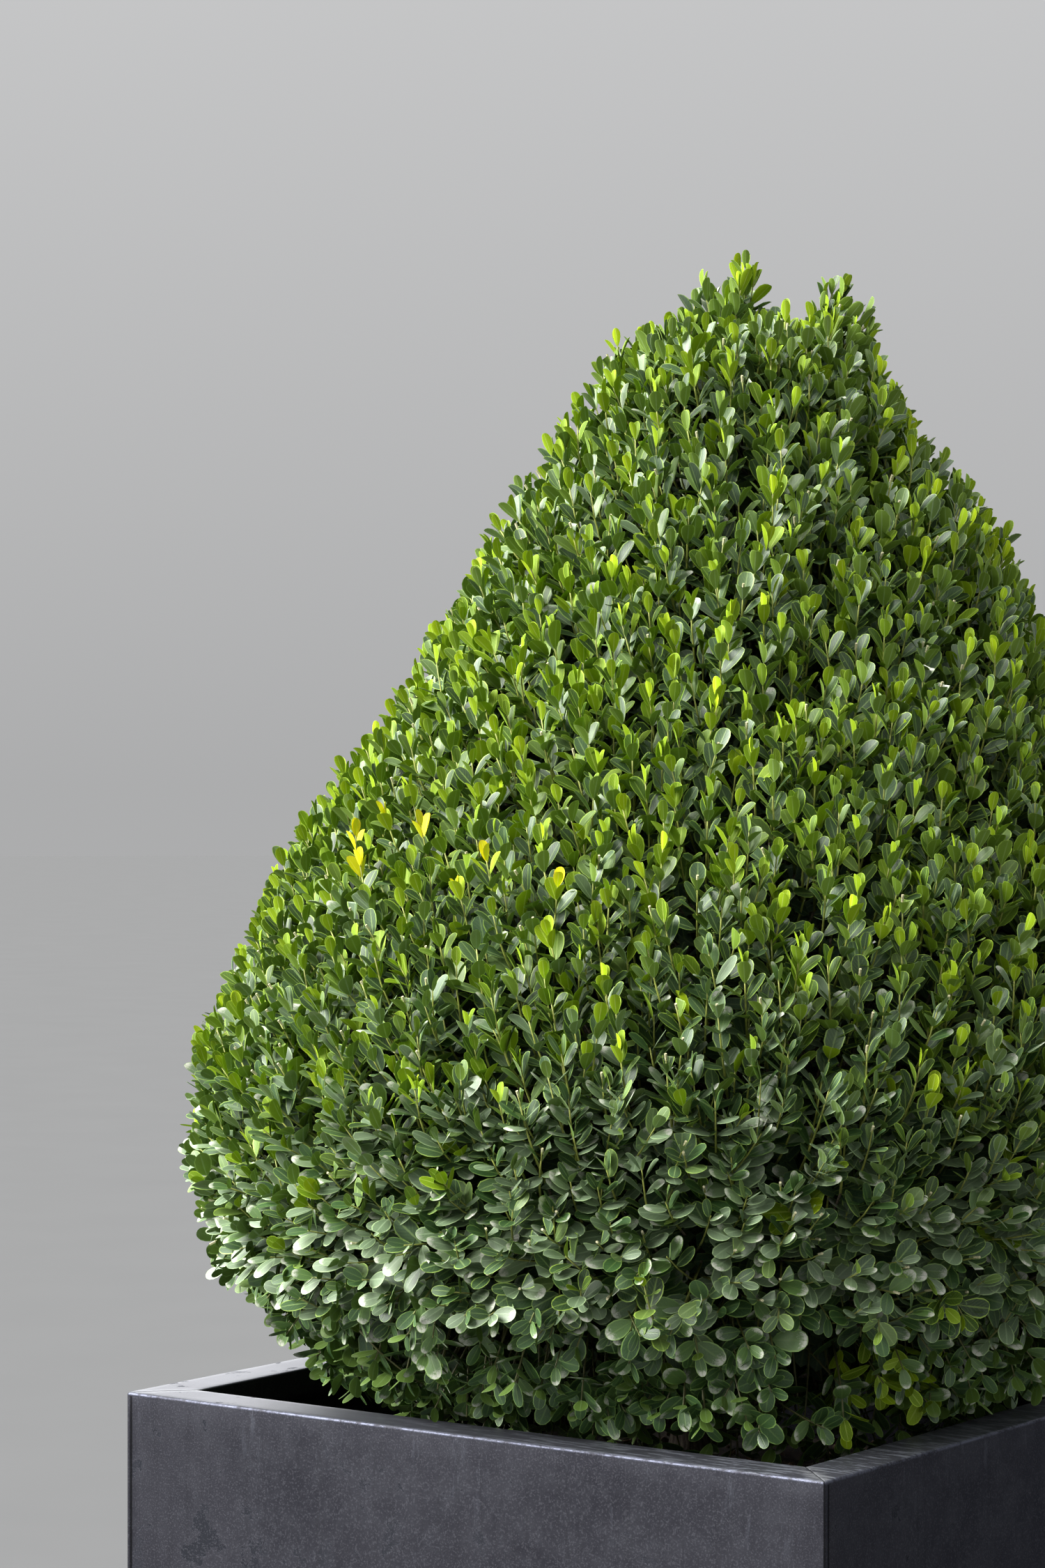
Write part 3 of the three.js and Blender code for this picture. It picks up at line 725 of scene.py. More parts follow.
def bough_knots(index):
    """Places that one bough runs through, from the trunk's axis out and up."""
    angle = 0.5 + index * 2 * math.pi / BOUGHS
    out = np.array([math.cos(angle), math.sin(angle), 0.0])
    start = BOUGH_START + BOUGH_STEP * index
    curve = through(TRUNK_KNOTS, 200)
    root = curve[np.argmin(np.abs(curve[:, 2] - start))]
    reach = BOUGH_REACH * (1 + 0.1 * math.cos(index * GOLDEN_ANGLE))
    rise = BOUGH_TOP - root[2]
    return [root + out * reach * a + UP * rise * b for a, b in [(0, 0), (0.35, 0.28), (0.75, 0.62), (1, 1)]]


def bough_piece(index, material):
    """One bough: radius from 11.5 to 7.5 mm along its curve."""
    steps, sides = 48, 28
    path = through(bough_knots(index), steps)
    radius = np.linspace(*BOUGH_RADII, steps)
    relief = bark_relief(path + index, sides, radius, BOUGH_RELIEF)
    rings = tubes(path[None], (radius[:, None] + relief)[None], sides)
    bough = tube_piece(f"bough_{index + 1}_bark", rings, material)
    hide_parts(f"bough_{index + 1}")


def bark_finish(name, light, dark, scale):
    """Bark: pale ridges, dark furrows and a little green bloom, at a scale that fits its limb."""
    f = Finish(name)
    place = f.object_place()
    furrows = f.noise(f.stretched(place, (scale, scale, scale * 0.16)), 1.0, 6.0, 0.65)
    flecks = f.noise(place, scale * 3.5, 4.0, 0.7)
    bloom = f.noise(place, 22.0, 3.0, 0.6)
    colour = f.mix(f.step(furrows, 0.36, 0.66), dark, light)
    colour = f.mix(f.step(flecks, 0.55, 0.75) * 0.5, colour, (0.30, 0.27, 0.22))
    colour = f.mix(f.step(bloom, 0.55, 0.75) * 0.4, colour, (0.10, 0.12, 0.055))
    height = furrows * 0.8 + flecks * 0.3
    return f.surface(Base_Color=colour, Roughness=0.86 - flecks * 0.12,
                     Normal=f.bump(height, 0.6, 0.0012))


BARK = bark_finish("old_bark", (0.185, 0.152, 0.112), (0.040, 0.030, 0.021), 330.0)
TWIG_BARK = bark_finish("twig_bark", (0.150, 0.122, 0.075), (0.050, 0.040, 0.024), 700.0)
trunk_piece(BARK)
for index in range(BOUGHS):
    bough_piece(index, BARK)

# %% [markdown]
# The crown keeps to a turned space: a radius for each height over the rim, round a middle line
# that leans over to its own axis. It is the same outline as the solid's.
# Shoots end on that outline. Placing them at random leaves bald spots and clumps. A row for each
# height makes stripes. So they are spread by area, and each one is turned on from the last by the
# golden angle, the way a real plant spaces its own leaves, with a little scatter.

# %% Crown space
OUTLINE = np.array([
    (-0.055, 0.240), (-0.008, 0.290), (0.006, 0.322), (0.035, 0.366), (0.097, 0.430), (0.190, 0.459),
    (0.285, 0.470), (0.360, 0.451), (0.457, 0.409), (0.533, 0.356), (0.615, 0.303), (0.684, 0.263),
    (0.754, 0.225), (0.802, 0.190), (0.864, 0.149), (0.900, 0.124), (0.922, 0.100), (0.936, 0.058),
    (0.941, 0.0),
])
CROWN_SHIFT = np.array([0.035, 0.025])
SHIFT_HEIGHT = 0.5
TOP_LEAN = 0.006
LEAN_HEIGHTS = (0.60, 0.80)
OUTLINE_ROWS = 1201


def outline_radius(height):
    """Radius of the crown at a height over the rim."""
    return np.interp(height, OUTLINE[:, 0], OUTLINE[:, 1])


def crown_middle(height):
    """The crown's middle at a height over the rim: over to its axis, then a little more on top."""
    height = np.asarray(height, dtype=float)[..., None]
    level = CROWN_SHIFT * smoothstep(height, 0.0, SHIFT_HEIGHT)
    level = level + TOP_LEAN * ACROSS[:2] * smoothstep(height, *LEAN_HEIGHTS)
    return np.concatenate([level, HEIGHT + height], axis=-1)


def outline_places(count, first_angle, scatter, source):
    """Heights, places and outward directions of points spread evenly over the outline."""
    edges = np.linspace(OUTLINE[0, 0], OUTLINE[-1, 0], OUTLINE_ROWS)
    radius = outline_radius(edges)
    slant = np.hypot(np.diff(radius), np.diff(edges))
    area = np.concatenate([[0], np.cumsum(slant * (radius[1:] + radius[:-1]) / 2)])
    number = np.arange(count)
    share = (number + 0.5 + scatter * source.normal(size=count) * math.sqrt(count) * 0.55) / count
    height = np.interp(np.clip(share, 0.0003, 0.9997) * area[-1], area, edges)
    row = np.clip(np.searchsorted(edges, height) - 1, 0, len(slant) - 1)
    spacing = np.sqrt(2 * math.pi * area[-1] / count)
    wobble = scatter * source.normal(size=count) * spacing / np.maximum(outline_radius(height), 0.05)
    angle = first_angle + number * GOLDEN_ANGLE + wobble
    steep = np.diff(edges)[row] / slant[row]
    lean = -np.diff(radius)[row] / slant[row]
    round_way = np.stack([np.cos(angle), np.sin(angle)], axis=1)
    out = np.concatenate([round_way * steep[:, None], lean[:, None]], axis=1)
    place = crown_middle(height)
    place[:, :2] += round_way * outline_radius(height)[:, None]
    return height, place, unit(out)


print("crown: widest", round(2 * OUTLINE[:, 1].max(), 3), "m, top", OUTLINE[-1, 0], "m over the rim")

# %% [markdown]
# A shoot of boxwood grows almost straight up on the cone, leans out on its flank and hangs out over
# the rim at its foot. Its last few centimetres carry the leaves that show. Hair could be combed
# into such a shape, but this rule is the solid's own, and it needs no combing.
# The surface isn't smooth: shears leave it slightly hilly, and some shoots have grown on since.
# One low noise raises and sinks neighbours together, and each shoot has its own small share. Over
# the planter's near corner the shoots stay short and leave a dark hollow.

# %% Shoots by rule
SHOOTS = 3250
SHOOT_DEPTH = 0.012
SHOOT_LENGTH = 0.075
SPACING_SCATTER = 0.42
WAY_SCATTER = 0.20
TIP_SCATTER = 0.006
HILLS = [(0.007, 0.11, 61), (0.006, 0.045, 62)]
FOOT_HILLS, FOOT_CELL, FOOT_SEED = 0.020, 0.050, 63
HOLLOW = np.array([0.287, -0.240, HEIGHT + 0.036])
HOLLOW_REACH = 0.062
HOLLOW_DEPTH = 0.070
luck = np.random.default_rng(7)


def shoot_ways(height, out, source):
    """Directions of shoots: outwards, lifted on the cone, and hanging a little at its foot."""
    lift = 1.12 * smoothstep(height, -0.02, 0.36) - 0.65 * (1 - smoothstep(height, -0.04, 0.12))
    scatter = source.normal(size=out.shape) * WAY_SCATTER
    return unit(out + UP * lift[:, None] + scatter)


def make_shoots(count, first_angle, depth, length, source):
    """Roots, tips, directions and heights of shoots that end a depth inside the outline."""
    height, place, out = outline_places(count, first_angle, SPACING_SCATTER, source)
    way = shoot_ways(height, out, source)
    hills = sum(rise * lattice_noise(place, cell, seed) for rise, cell, seed in HILLS)
    foot = 1 - smoothstep(height, 0.04, 0.20)
    hills = hills + FOOT_HILLS * foot * (lattice_noise(place, FOOT_CELL, FOOT_SEED) - 0.25)
    sunk = depth * (1 + foot * (depth > SHOOT_DEPTH)) - hills
    sunk = sunk + np.abs(source.normal(size=count)) * TIP_SCATTER
    near = np.linalg.norm((place - HOLLOW) * np.array([1, 1, 0.6]), axis=1)
    sunk = sunk + HOLLOW_DEPTH * (1 - smoothstep(near, 0.35 * HOLLOW_REACH, HOLLOW_REACH))
    tip = place - out * sunk[:, None]
    long = length * source.uniform(0.8, 1.2, count)
    shoots = {"root": tip - way * long[:, None], "tip": tip, "way": way, "out": out, "height": height}
    return {key: value[near > 0.6 * HOLLOW_REACH] for key, value in shoots.items()}


even = make_shoots(SHOOTS, 0.0, SHOOT_DEPTH, SHOOT_LENGTH, luck)
print("shoots by rule:", len(even["tip"]))

# %% [markdown]
# Some shoots make this plant the one that it is: those at the top that have outgrown the shears,
# the sprays that hang down to the rim, and a few yellow ones. No rule would put them in the right
# place, so they are listed. A shoot at the top is given by how far it stands across the view and
# away, its height over the rim and its lean to the right. The others are given by the place of the
# tip. Behind all of these a second, deeper layer of shoots closes the gaps.

# %% Shoots with a place of their own
TOP_SHOOTS = np.array([
    (0.000, 0.000, 0.994, 0.00), (-0.008, 0.006, 0.990, -0.10), (0.010, -0.006, 0.985, 0.20),
    (-0.040, 0.000, 0.972, -0.30), (-0.030, 0.008, 0.973, -0.10), (-0.018, -0.010, 0.963, -0.05),
    (-0.045, 0.006, 0.953, -0.30), (-0.011, -0.022, 0.958, -0.05), (0.016, 0.010, 0.955, 0.15),
    (0.004, 0.022, 0.960, 0.00), (-0.058, 0.000, 0.943, -0.10), (-0.069, 0.010, 0.939, -0.15),
    (-0.050, -0.012, 0.935, -0.10), (-0.085, 0.004, 0.931, -0.15), (-0.094, -0.010, 0.927, -0.20),
    (-0.104, 0.008, 0.920, -0.25), (-0.118, 0.000, 0.924, -0.35), (-0.128, -0.006, 0.912, -0.50),
    (0.034, 0.000, 0.940, 0.10), (0.050, 0.006, 0.934, 0.15), (0.026, -0.020, 0.946, 0.10),
    (0.062, -0.004, 0.944, 0.25), (0.074, 0.000, 0.964, 0.40), (0.082, 0.006, 0.971, 0.40),
    (0.094, -0.002, 0.970, 0.60), (0.088, -0.012, 0.955, 0.50), (0.106, 0.002, 0.958, 0.80),
    (0.114, -0.004, 0.946, 0.90), (0.115, 0.008, 0.936, 1.00), (0.115, 0.000, 0.926, 1.10),
    (0.114, -0.010, 0.916, 1.00), (0.100, -0.022, 0.930, 0.70), (0.104, 0.016, 0.914, 0.80),
    (0.080, -0.030, 0.936, 0.40), (0.090, 0.024, 0.936, 0.50), (0.105, 0.000, 0.905, 0.70),
    (0.121, 0.000, 0.889, 0.40), (0.129, 0.002, 0.865, 0.40), (0.146, 0.000, 0.852, 0.40),
    (0.010, 0.056, 0.946, 0.00), (0.052, 0.052, 0.936, 0.15), (-0.036, 0.046, 0.940, -0.10),
    (0.034, -0.060, 0.934, 0.10), (-0.040, -0.060, 0.930, -0.10), (0.000, 0.092, 0.925, 0.00),
])
FOOT_SHOOTS = np.array([
    (-0.182, -0.290, 0.744), (-0.172, -0.300, 0.728), (-0.158, -0.302, 0.722), (-0.146, -0.298, 0.742),
    (-0.138, -0.303, 0.718), (-0.124, -0.300, 0.730), (-0.110, -0.298, 0.722), (-0.082, -0.298, 0.720),
    (-0.054, -0.300, 0.722), (-0.028, -0.298, 0.724), (0.000, -0.300, 0.719), (0.030, -0.298, 0.724),
    (0.060, -0.298, 0.726), (0.084, -0.300, 0.720), (0.106, -0.303, 0.718), (0.122, -0.304, 0.719),
    (0.136, -0.302, 0.725), (0.155, -0.300, 0.732), (0.168, -0.300, 0.726), (0.190, -0.300, 0.724),
    (0.209, -0.300, 0.720), (0.226, -0.296, 0.744), (0.248, -0.298, 0.727), (0.260, -0.300, 0.721),
    (0.266, -0.292, 0.752), (0.288, -0.250, 0.720), (0.292, -0.226, 0.724), (0.276, -0.190, 0.736),
    (0.300, -0.182, 0.772), (0.306, -0.150, 0.740), (0.308, -0.122, 0.724), (0.312, -0.098, 0.750),
    (0.310, -0.074, 0.722), (0.314, -0.036, 0.719), (0.316, -0.014, 0.732), (0.318, 0.014, 0.719),
    (0.320, 0.040, 0.722), (0.320, 0.074, 0.720), (0.258, -0.166, 0.700),
])
GOLD_PLACES = np.array([
    (-0.109, -0.332, 1.183), (-0.076, -0.330, 1.200), (-0.027, -0.348, 1.192), (-0.079, -0.364, 1.153),
    (0.053, -0.379, 1.154), (0.033, -0.390, 1.132), (0.123, -0.373, 1.147),
])
TOP_LENGTH = 0.09
LEAF_OVER_TIP = 0.015
COMPANION_SHIFT = np.array([0.004, 0.0, 0.018, 0.0])
COMPANION_SHAKE = np.array([0.005, 0.009, 0.004, 0.15])
FOOT_LENGTH = 0.075
GOLD_RISE = 0.010
UNDER_SHOOTS = 2050
UNDER_DEPTH = 0.036
UNDER_LENGTH = 0.060


def top_shoots(source):
    """The long shoots at the top, each given by its tip and its lean, with a companion below."""
    listed = np.repeat(TOP_SHOOTS, 2, axis=0)
    lower = np.tile([0.0, 1.0], len(TOP_SHOOTS))[:, None]
    shake = source.normal(size=listed.shape) * COMPANION_SHAKE
    listed = listed + lower * (shake - COMPANION_SHIFT)
    side = listed[:, :1] * ACROSS + listed[:, 1:2] * AWAY
    way = unit(UP + listed[:, 3:] * ACROSS + 1.6 * listed[:, 1:2] * AWAY)
    tip = crown_middle(listed[:, 2]) + side - way * LEAF_OVER_TIP
    return {"root": tip - way * TOP_LENGTH, "tip": tip, "way": way, "out": unit(0.5 * way + side / 0.12),
            "height": listed[:, 2]}


def foot_shoots(source):
    """The sprays that hang down to the rim on the sides in view, each a tip and two above it."""
    above = np.tile([0.0, 1.0, 2.0], len(FOOT_SHOOTS))[:, None]
    tip = np.repeat(FOOT_SHOOTS, 3, axis=0)
    out = unit(tip * np.array([1.0, 1.0, 0.0]))
    tip = tip + above * (0.015 * UP - 0.004 * out + 0.006 * source.normal(size=tip.shape))
    way = unit(out - UP * 0.7 + 0.30 * source.normal(size=out.shape))
    shoots = {"root": tip - way * FOOT_LENGTH + UP * 0.012, "tip": tip, "way": way, "out": out,
              "height": tip[:, 2] - HEIGHT}
    open_place = np.linalg.norm(tip - HOLLOW, axis=1) < 1.15 * HOLLOW_REACH
    return {key: value[(above[:, 0] == 0) | ~open_place] for key, value in shoots.items()}


def joined(*groups):
    """Groups of shoots as one."""
    return {key: np.concatenate([group[key] for group in groups]) for key in groups[0]}


outer = joined(even, top_shoots(luck), foot_shoots(luck))
under = make_shoots(UNDER_SHOOTS, 1.7, UNDER_DEPTH, UNDER_LENGTH, luck)
gold_shoots = [np.argmin(np.linalg.norm(outer["tip"] - place, axis=1)) for place in GOLD_PLACES]
outer["gold"] = np.isin(np.arange(len(outer["tip"])), gold_shoots)
under["gold"] = np.zeros(len(under["tip"]), dtype=bool)
outer["tip"] = outer["tip"] + GOLD_RISE * outer["gold"][:, None] * outer["out"]
print("shoots:", len(outer["tip"]), "outer,", len(under["tip"]), "under")

# %% [markdown]
# Each shoot bends: it leaves its twig outwards and turns upwards to the light. A quadratic curve
# does that with one middle point. Its points are (1-t)^2 a + 2t(1-t) b + t^2 c.

# %% Curves for shoots
SHOOT_BEND = 0.010
SHOOT_SAG = 0.004


def bends(start, middle, end, steps):
    """Quadratic curves (n, steps, 3) from start to end, drawn towards middle."""
    t = np.linspace(0, 1, steps)[None, :, None]
    return (1 - t) ** 2 * start[:, None] + 2 * t * (1 - t) * middle[:, None] + t**2 * end[:, None]


def shoot_middle(shoots):
    """The middle point of each shoot's curve: a little outside its straight line."""
    half = (shoots["root"] + shoots["tip"]) / 2
    level = shoots["out"] * np.array([1.0, 1.0, 0.0])
    return half + level * SHOOT_BEND - UP * SHOOT_SAG


def along_shoot(shoots, back):
    """Places and directions on each shoot, a length back (n, k) from its tip."""
    a, b, c = shoots["root"], shoot_middle(shoots), shoots["tip"]
    length = np.linalg.norm(c - a, axis=1)
    t = np.clip(1 - back / length[:, None], 0.0, 1.0)[..., None]
    place = (1 - t) ** 2 * a[:, None] + 2 * t * (1 - t) * b[:, None] + t**2 * c[:, None]
    way = unit(2 * (1 - t) * (b - a)[:, None] + 2 * t * (c - b)[:, None])
    return place, way


bent = np.diff(bends(outer["root"], shoot_middle(outer), outer["tip"], 9), axis=1)
long = np.linalg.norm(bent, axis=-1).sum(axis=1)
print("shoots along their bend:", np.round([long.min(), long.max()], 3), "m")


# %% [markdown]
# A boxwood leaf is a small oval, widest past its middle, with a round end and almost no stalk.
# Young ones are folded upwards like a spoon. Old ones are flatter, and their tips curve down.
# One leaf could be a plane with a cut-out image, but there are no images here, and a real outline
# also catches the light along its edge. So each is a strip of eight stations, or of six further in,
# with a point on the midrib and one on each edge, and only its two ends are single points. Its half
# width at u along the leaf is u^a (1-u)^b, scaled to 1. A leaf that shears went through is a fifth
# form, which ends in a straight cut.

# %% Leaf forms
FINE = np.array([0.0, 0.12, 0.30, 0.52, 0.74, 0.90, 0.975, 1.0])
COARSE = np.array([0.0, 0.18, 0.46, 0.76, 0.95, 1.0])


def leaf_form(stations, base, end, fold_up, tip_down, cut=1.0):
    """Points of a leaf of length 1 and width 1: across, along, and up off the blade."""
    u = stations[1:-1]
    half = u**base * (1 - u) ** end
    half = 0.5 * half / (base / (base + end)) ** base / (end / (base + end)) ** end
    if cut < 1.0:
        u = cut * u / u[-1]
        half = 0.5 * np.minimum(1.0, (u / 0.5) ** 0.8)
    across = half[:, None] * np.array([-1.0, 0.0, 1.0])
    along = np.broadcast_to(u[:, None], across.shape)
    rise = fold_up * np.abs(across) ** 1.3 - tip_down * along**2.2
    body = np.stack([across, along, rise], axis=-1).reshape(-1, 3)
    return np.concatenate([[[0, 0, 0]], body, [[0, min(cut, 1.0), -tip_down * cut**2.2]]])


def leaf_faces(rows):
    """Triangles of the strip: a pair at the base, four in each row, and a pair at the end."""
    first = 1 + 3 * np.arange(rows - 1)
    faces = [(0, 2, 1), (0, 3, 2)]
    for k in range(2):
        a, b, c, d = first + k, first + k + 1, first + k + 4, first + k + 3
        faces += list(zip(a, b, c)) + list(zip(a, c, d))
    last = 1 + 3 * (rows - 1)
    return np.array(faces + [(last, last + 1, last + 3), (last + 1, last + 2, last + 3)])


def leaf_pattern(stations):
    """Where each point lies in the leaf's own square: 0 to 1 across, and 0 to 1 along."""
    side = np.tile([0.0, 0.5, 1.0], len(stations) - 2)
    along = np.repeat(stations[1:-1], 3)
    return np.concatenate([[[0.5, 0.0]], np.stack([side, along], axis=1), [[0.5, 1.0]]])


def leaf_forms(stations):
    """The five forms of leaf: slim, broad, young and folded, round and bent down, cut across."""
    return np.stack([
        leaf_form(stations, 0.90, 0.50, 0.24, 0.02),
        leaf_form(stations, 0.72, 0.50, 0.14, 0.06),
        leaf_form(stations, 0.95, 0.50, 0.26, -0.02),
        leaf_form(stations, 0.68, 0.50, -0.08, 0.12),
        leaf_form(stations, 0.95, 0.50, 0.35, 0.01, cut=0.60),
    ])


SLIM, BROAD, YOUNG, ROUND, CUT = range(5)
for stations in (FINE, COARSE):
    print("leaf of", len(leaf_faces(len(stations) - 2)), "faces")

# %% [markdown]
# Leaves stand in pairs, each pair a quarter turn on from the one below, in a V that is narrow at
# the tip and wider lower down. A leaf's upper side looks towards the tip of its shoot, and
# leaves twist a little to turn that side out to the light. On the flank, where shoots lean out and
# the light comes from above, the pairs twist further, until most blades lie nearly level.

# %% Leaves on the shoots
STALK = 0.0008
BACK_SCATTER = 0.0012
FACING_SCATTER = 0.16
TILT_SCATTER = 8.0
LOW_OPENING = 24.0


def grown_by_height(height):
    """Factors for leaves at a height over the rim: their width as a share, and their length."""
    wide = 1.14 - 0.10 * smoothstep(height, 0.05, 0.25) - 0.18 * smoothstep(height, 0.45, 0.90)
    long = 1.05 - 0.07 * smoothstep(height, 0.15, 0.40) + 0.08 * smoothstep(height, 0.50, 0.75)
    return wide[:, None], long[:, None]


def leaf_pairs(shoots, back, spread, length, width, source):
    """Arrays for leaves in pairs, a length back from each tip, at angles spread from the shoot."""
    count, pairs = len(shoots["tip"]), len(back)
    place_back = np.array(back)[None] * source.uniform(0.85, 1.15, (count, 1))
    place_back = place_back + source.normal(size=(count, pairs)) * BACK_SCATTER
    place, way = along_shoot(shoots, np.maximum(place_back, 0.0))
    level = smoothstep(shoots["height"], 0.02, 0.10) * (1 - smoothstep(shoots["height"], 0.32, 0.52))
    level = level[:, None, None]
    pick = unit(source.normal(size=(count, 1, 3)) + 3.0 * level * UP)
    side = unit(np.cross(way, pick))
    other = np.cross(way, side)
    quarter = np.arange(pairs) % 2 * (math.pi / 2) * (1 - 0.6 * level[..., 0])
    quarter = quarter + source.normal(size=(count, pairs)) * 0.18
    open_out = LOW_OPENING * (1 - smoothstep(shoots["height"], 0.08, 0.30))
    spread = np.array(spread)[None] + open_out[:, None]
    grown_wide, grown_long = grown_by_height(shoots["height"])
    parts = []
    for turn in (0.0, math.pi):
        angle = (quarter + turn + source.normal(size=(count, pairs)) * 0.12)[..., None]
        away = side * np.cos(angle) + other * np.sin(angle)
        tilt = np.radians(spread + source.normal(size=(count, pairs)) * TILT_SCATTER)[..., None]
        along = way * np.cos(tilt) + away * np.sin(tilt)
        facing = unit(way - along * np.sum(way * along, axis=-1, keepdims=True))
        light = shoots["out"][:, None] * (1 - 0.5 * level) + UP * (0.3 + level)
        turned_out = np.linspace(0.12, 0.75, pairs)[None, :, None] + 0.6 * level
        facing = facing + turned_out * (light - along * np.sum(light * along, axis=-1, keepdims=True))
        facing = facing + FACING_SCATTER * source.normal(size=facing.shape)
        facing = unit(facing - along * np.sum(facing * along, axis=-1, keepdims=True))
        varied = source.normal(1.0, 0.10, (count, pairs)).clip(0.7, 1.25)
        size = np.array(length)[None] * varied * grown_long
        wide = size * grown_wide * np.array(width)[None] * source.normal(1.0, 0.08, (count, pairs))
        parts.append((place + away * STALK, along, facing, size, wide))
    place, along, facing, size, wide = (np.stack(part, axis=2) for part in zip(*parts))
    return {
        "place": place.reshape(-1, 3), "along": along.reshape(-1, 3), "facing": facing.reshape(-1, 3),
        "length": size.ravel(), "width": wide.ravel(),
        "shoot": np.repeat(np.arange(count), pairs * 2),
        "pair": np.tile(np.repeat(np.arange(pairs), 2), count),
    }


# %% [markdown]
# The leaf's form now goes to each place: a point of the form is that far across, along and up off
# the blade, along three directions at right angles. The lists give one number for each pair, from
# the tip down: how far back it stands, its angle, its length and its width as a share of that.

# %% Leaf places
MOUTH = LIP - 0.003
RIM_ROOM = 0.0015
SOIL_ROOM = 0.004


def leaf_points(leaves, shape):
    """Points (n, k, 3) of leaves: the points of each one's form along its own three axes."""
    across = np.cross(leaves["along"], leaves["facing"])
    length, width = leaves["length"][:, None, None], leaves["width"][:, None, None]
    return (leaves["place"][:, None]
            + across[:, None] * shape[..., 0:1] * width
            + leaves["along"][:, None] * shape[..., 1:2] * length
            + leaves["facing"][:, None] * shape[..., 2:3] * length)


def stays_clear(points):
    """Whether all points of each leaf are clear of the planter, its rim and the soil."""
    reach = np.max(np.abs(points[..., :2]), axis=-1)
    over_rim = points[..., 2] > HEIGHT + RIM_ROOM
    return np.all((over_rim | (reach < MOUTH)) & (points[..., 2] > SOIL_TOP + SOIL_ROOM), axis=1)


OUTER_BACK = [0.001, 0.011, 0.024, 0.038, 0.053]
OUTER_SPREAD = [10, 27, 38, 47, 55]
OUTER_SIZE = [0.0165, 0.0208, 0.0224, 0.0230, 0.0226]
OUTER_WIDTH = [0.50, 0.54, 0.56, 0.57, 0.58]
UNDER_BACK = [0.002, 0.015, 0.030]
UNDER_SPREAD = [30, 46, 56]
UNDER_SIZE = [0.023, 0.025, 0.025]
UNDER_WIDTH = [0.58, 0.60, 0.60]
outer_leaves = leaf_pairs(outer, OUTER_BACK, OUTER_SPREAD, OUTER_SIZE, OUTER_WIDTH, luck)
under_leaves = leaf_pairs(under, UNDER_BACK, UNDER_SPREAD, UNDER_SIZE, UNDER_WIDTH, luck)
print("leaves:", len(outer_leaves["length"]), "outer,", len(under_leaves["length"]), "under")

# %% [markdown]
# A box leaf is dark and waxy on top: deep green, bluish in the light, with a pale midrib and a thin
# yellow-green margin. New leaves are yellow-green all over, and their undersides are paler still.
# All undersides are a bright yellow-green: partly the leaf's own paler colour, and partly painted
# light shining through the leaf. Old leaves near the foot are dusty, with whitish tips that are
# partly a dusty film and partly a painted highlight. Some are a pale grey-green all over, which is
# partly a dusty film and partly painted sheen where light falls on their upper sides.
# The pattern is worked out from the leaf's own square on the texture, not from its place in space,
# so that it always follows the leaf. The texture is a board of eight by eight such squares. Each
# leaf takes one of them, and each square has its own random shade, so neighbours differ.

# %% Leaf finishes
BOARD = 8
SQUARE_MARGIN = 0.06
SECOND_DRAW = (31.7, 11.3, 0.0)
# The whitish bloom on leaf tips: partly a dusty film, partly a painted highlight.
TIP_DUST_AND_HIGHLIGHT = (0.80, 0.78, 0.71)
SPECK = (0.42, 0.46, 0.40)


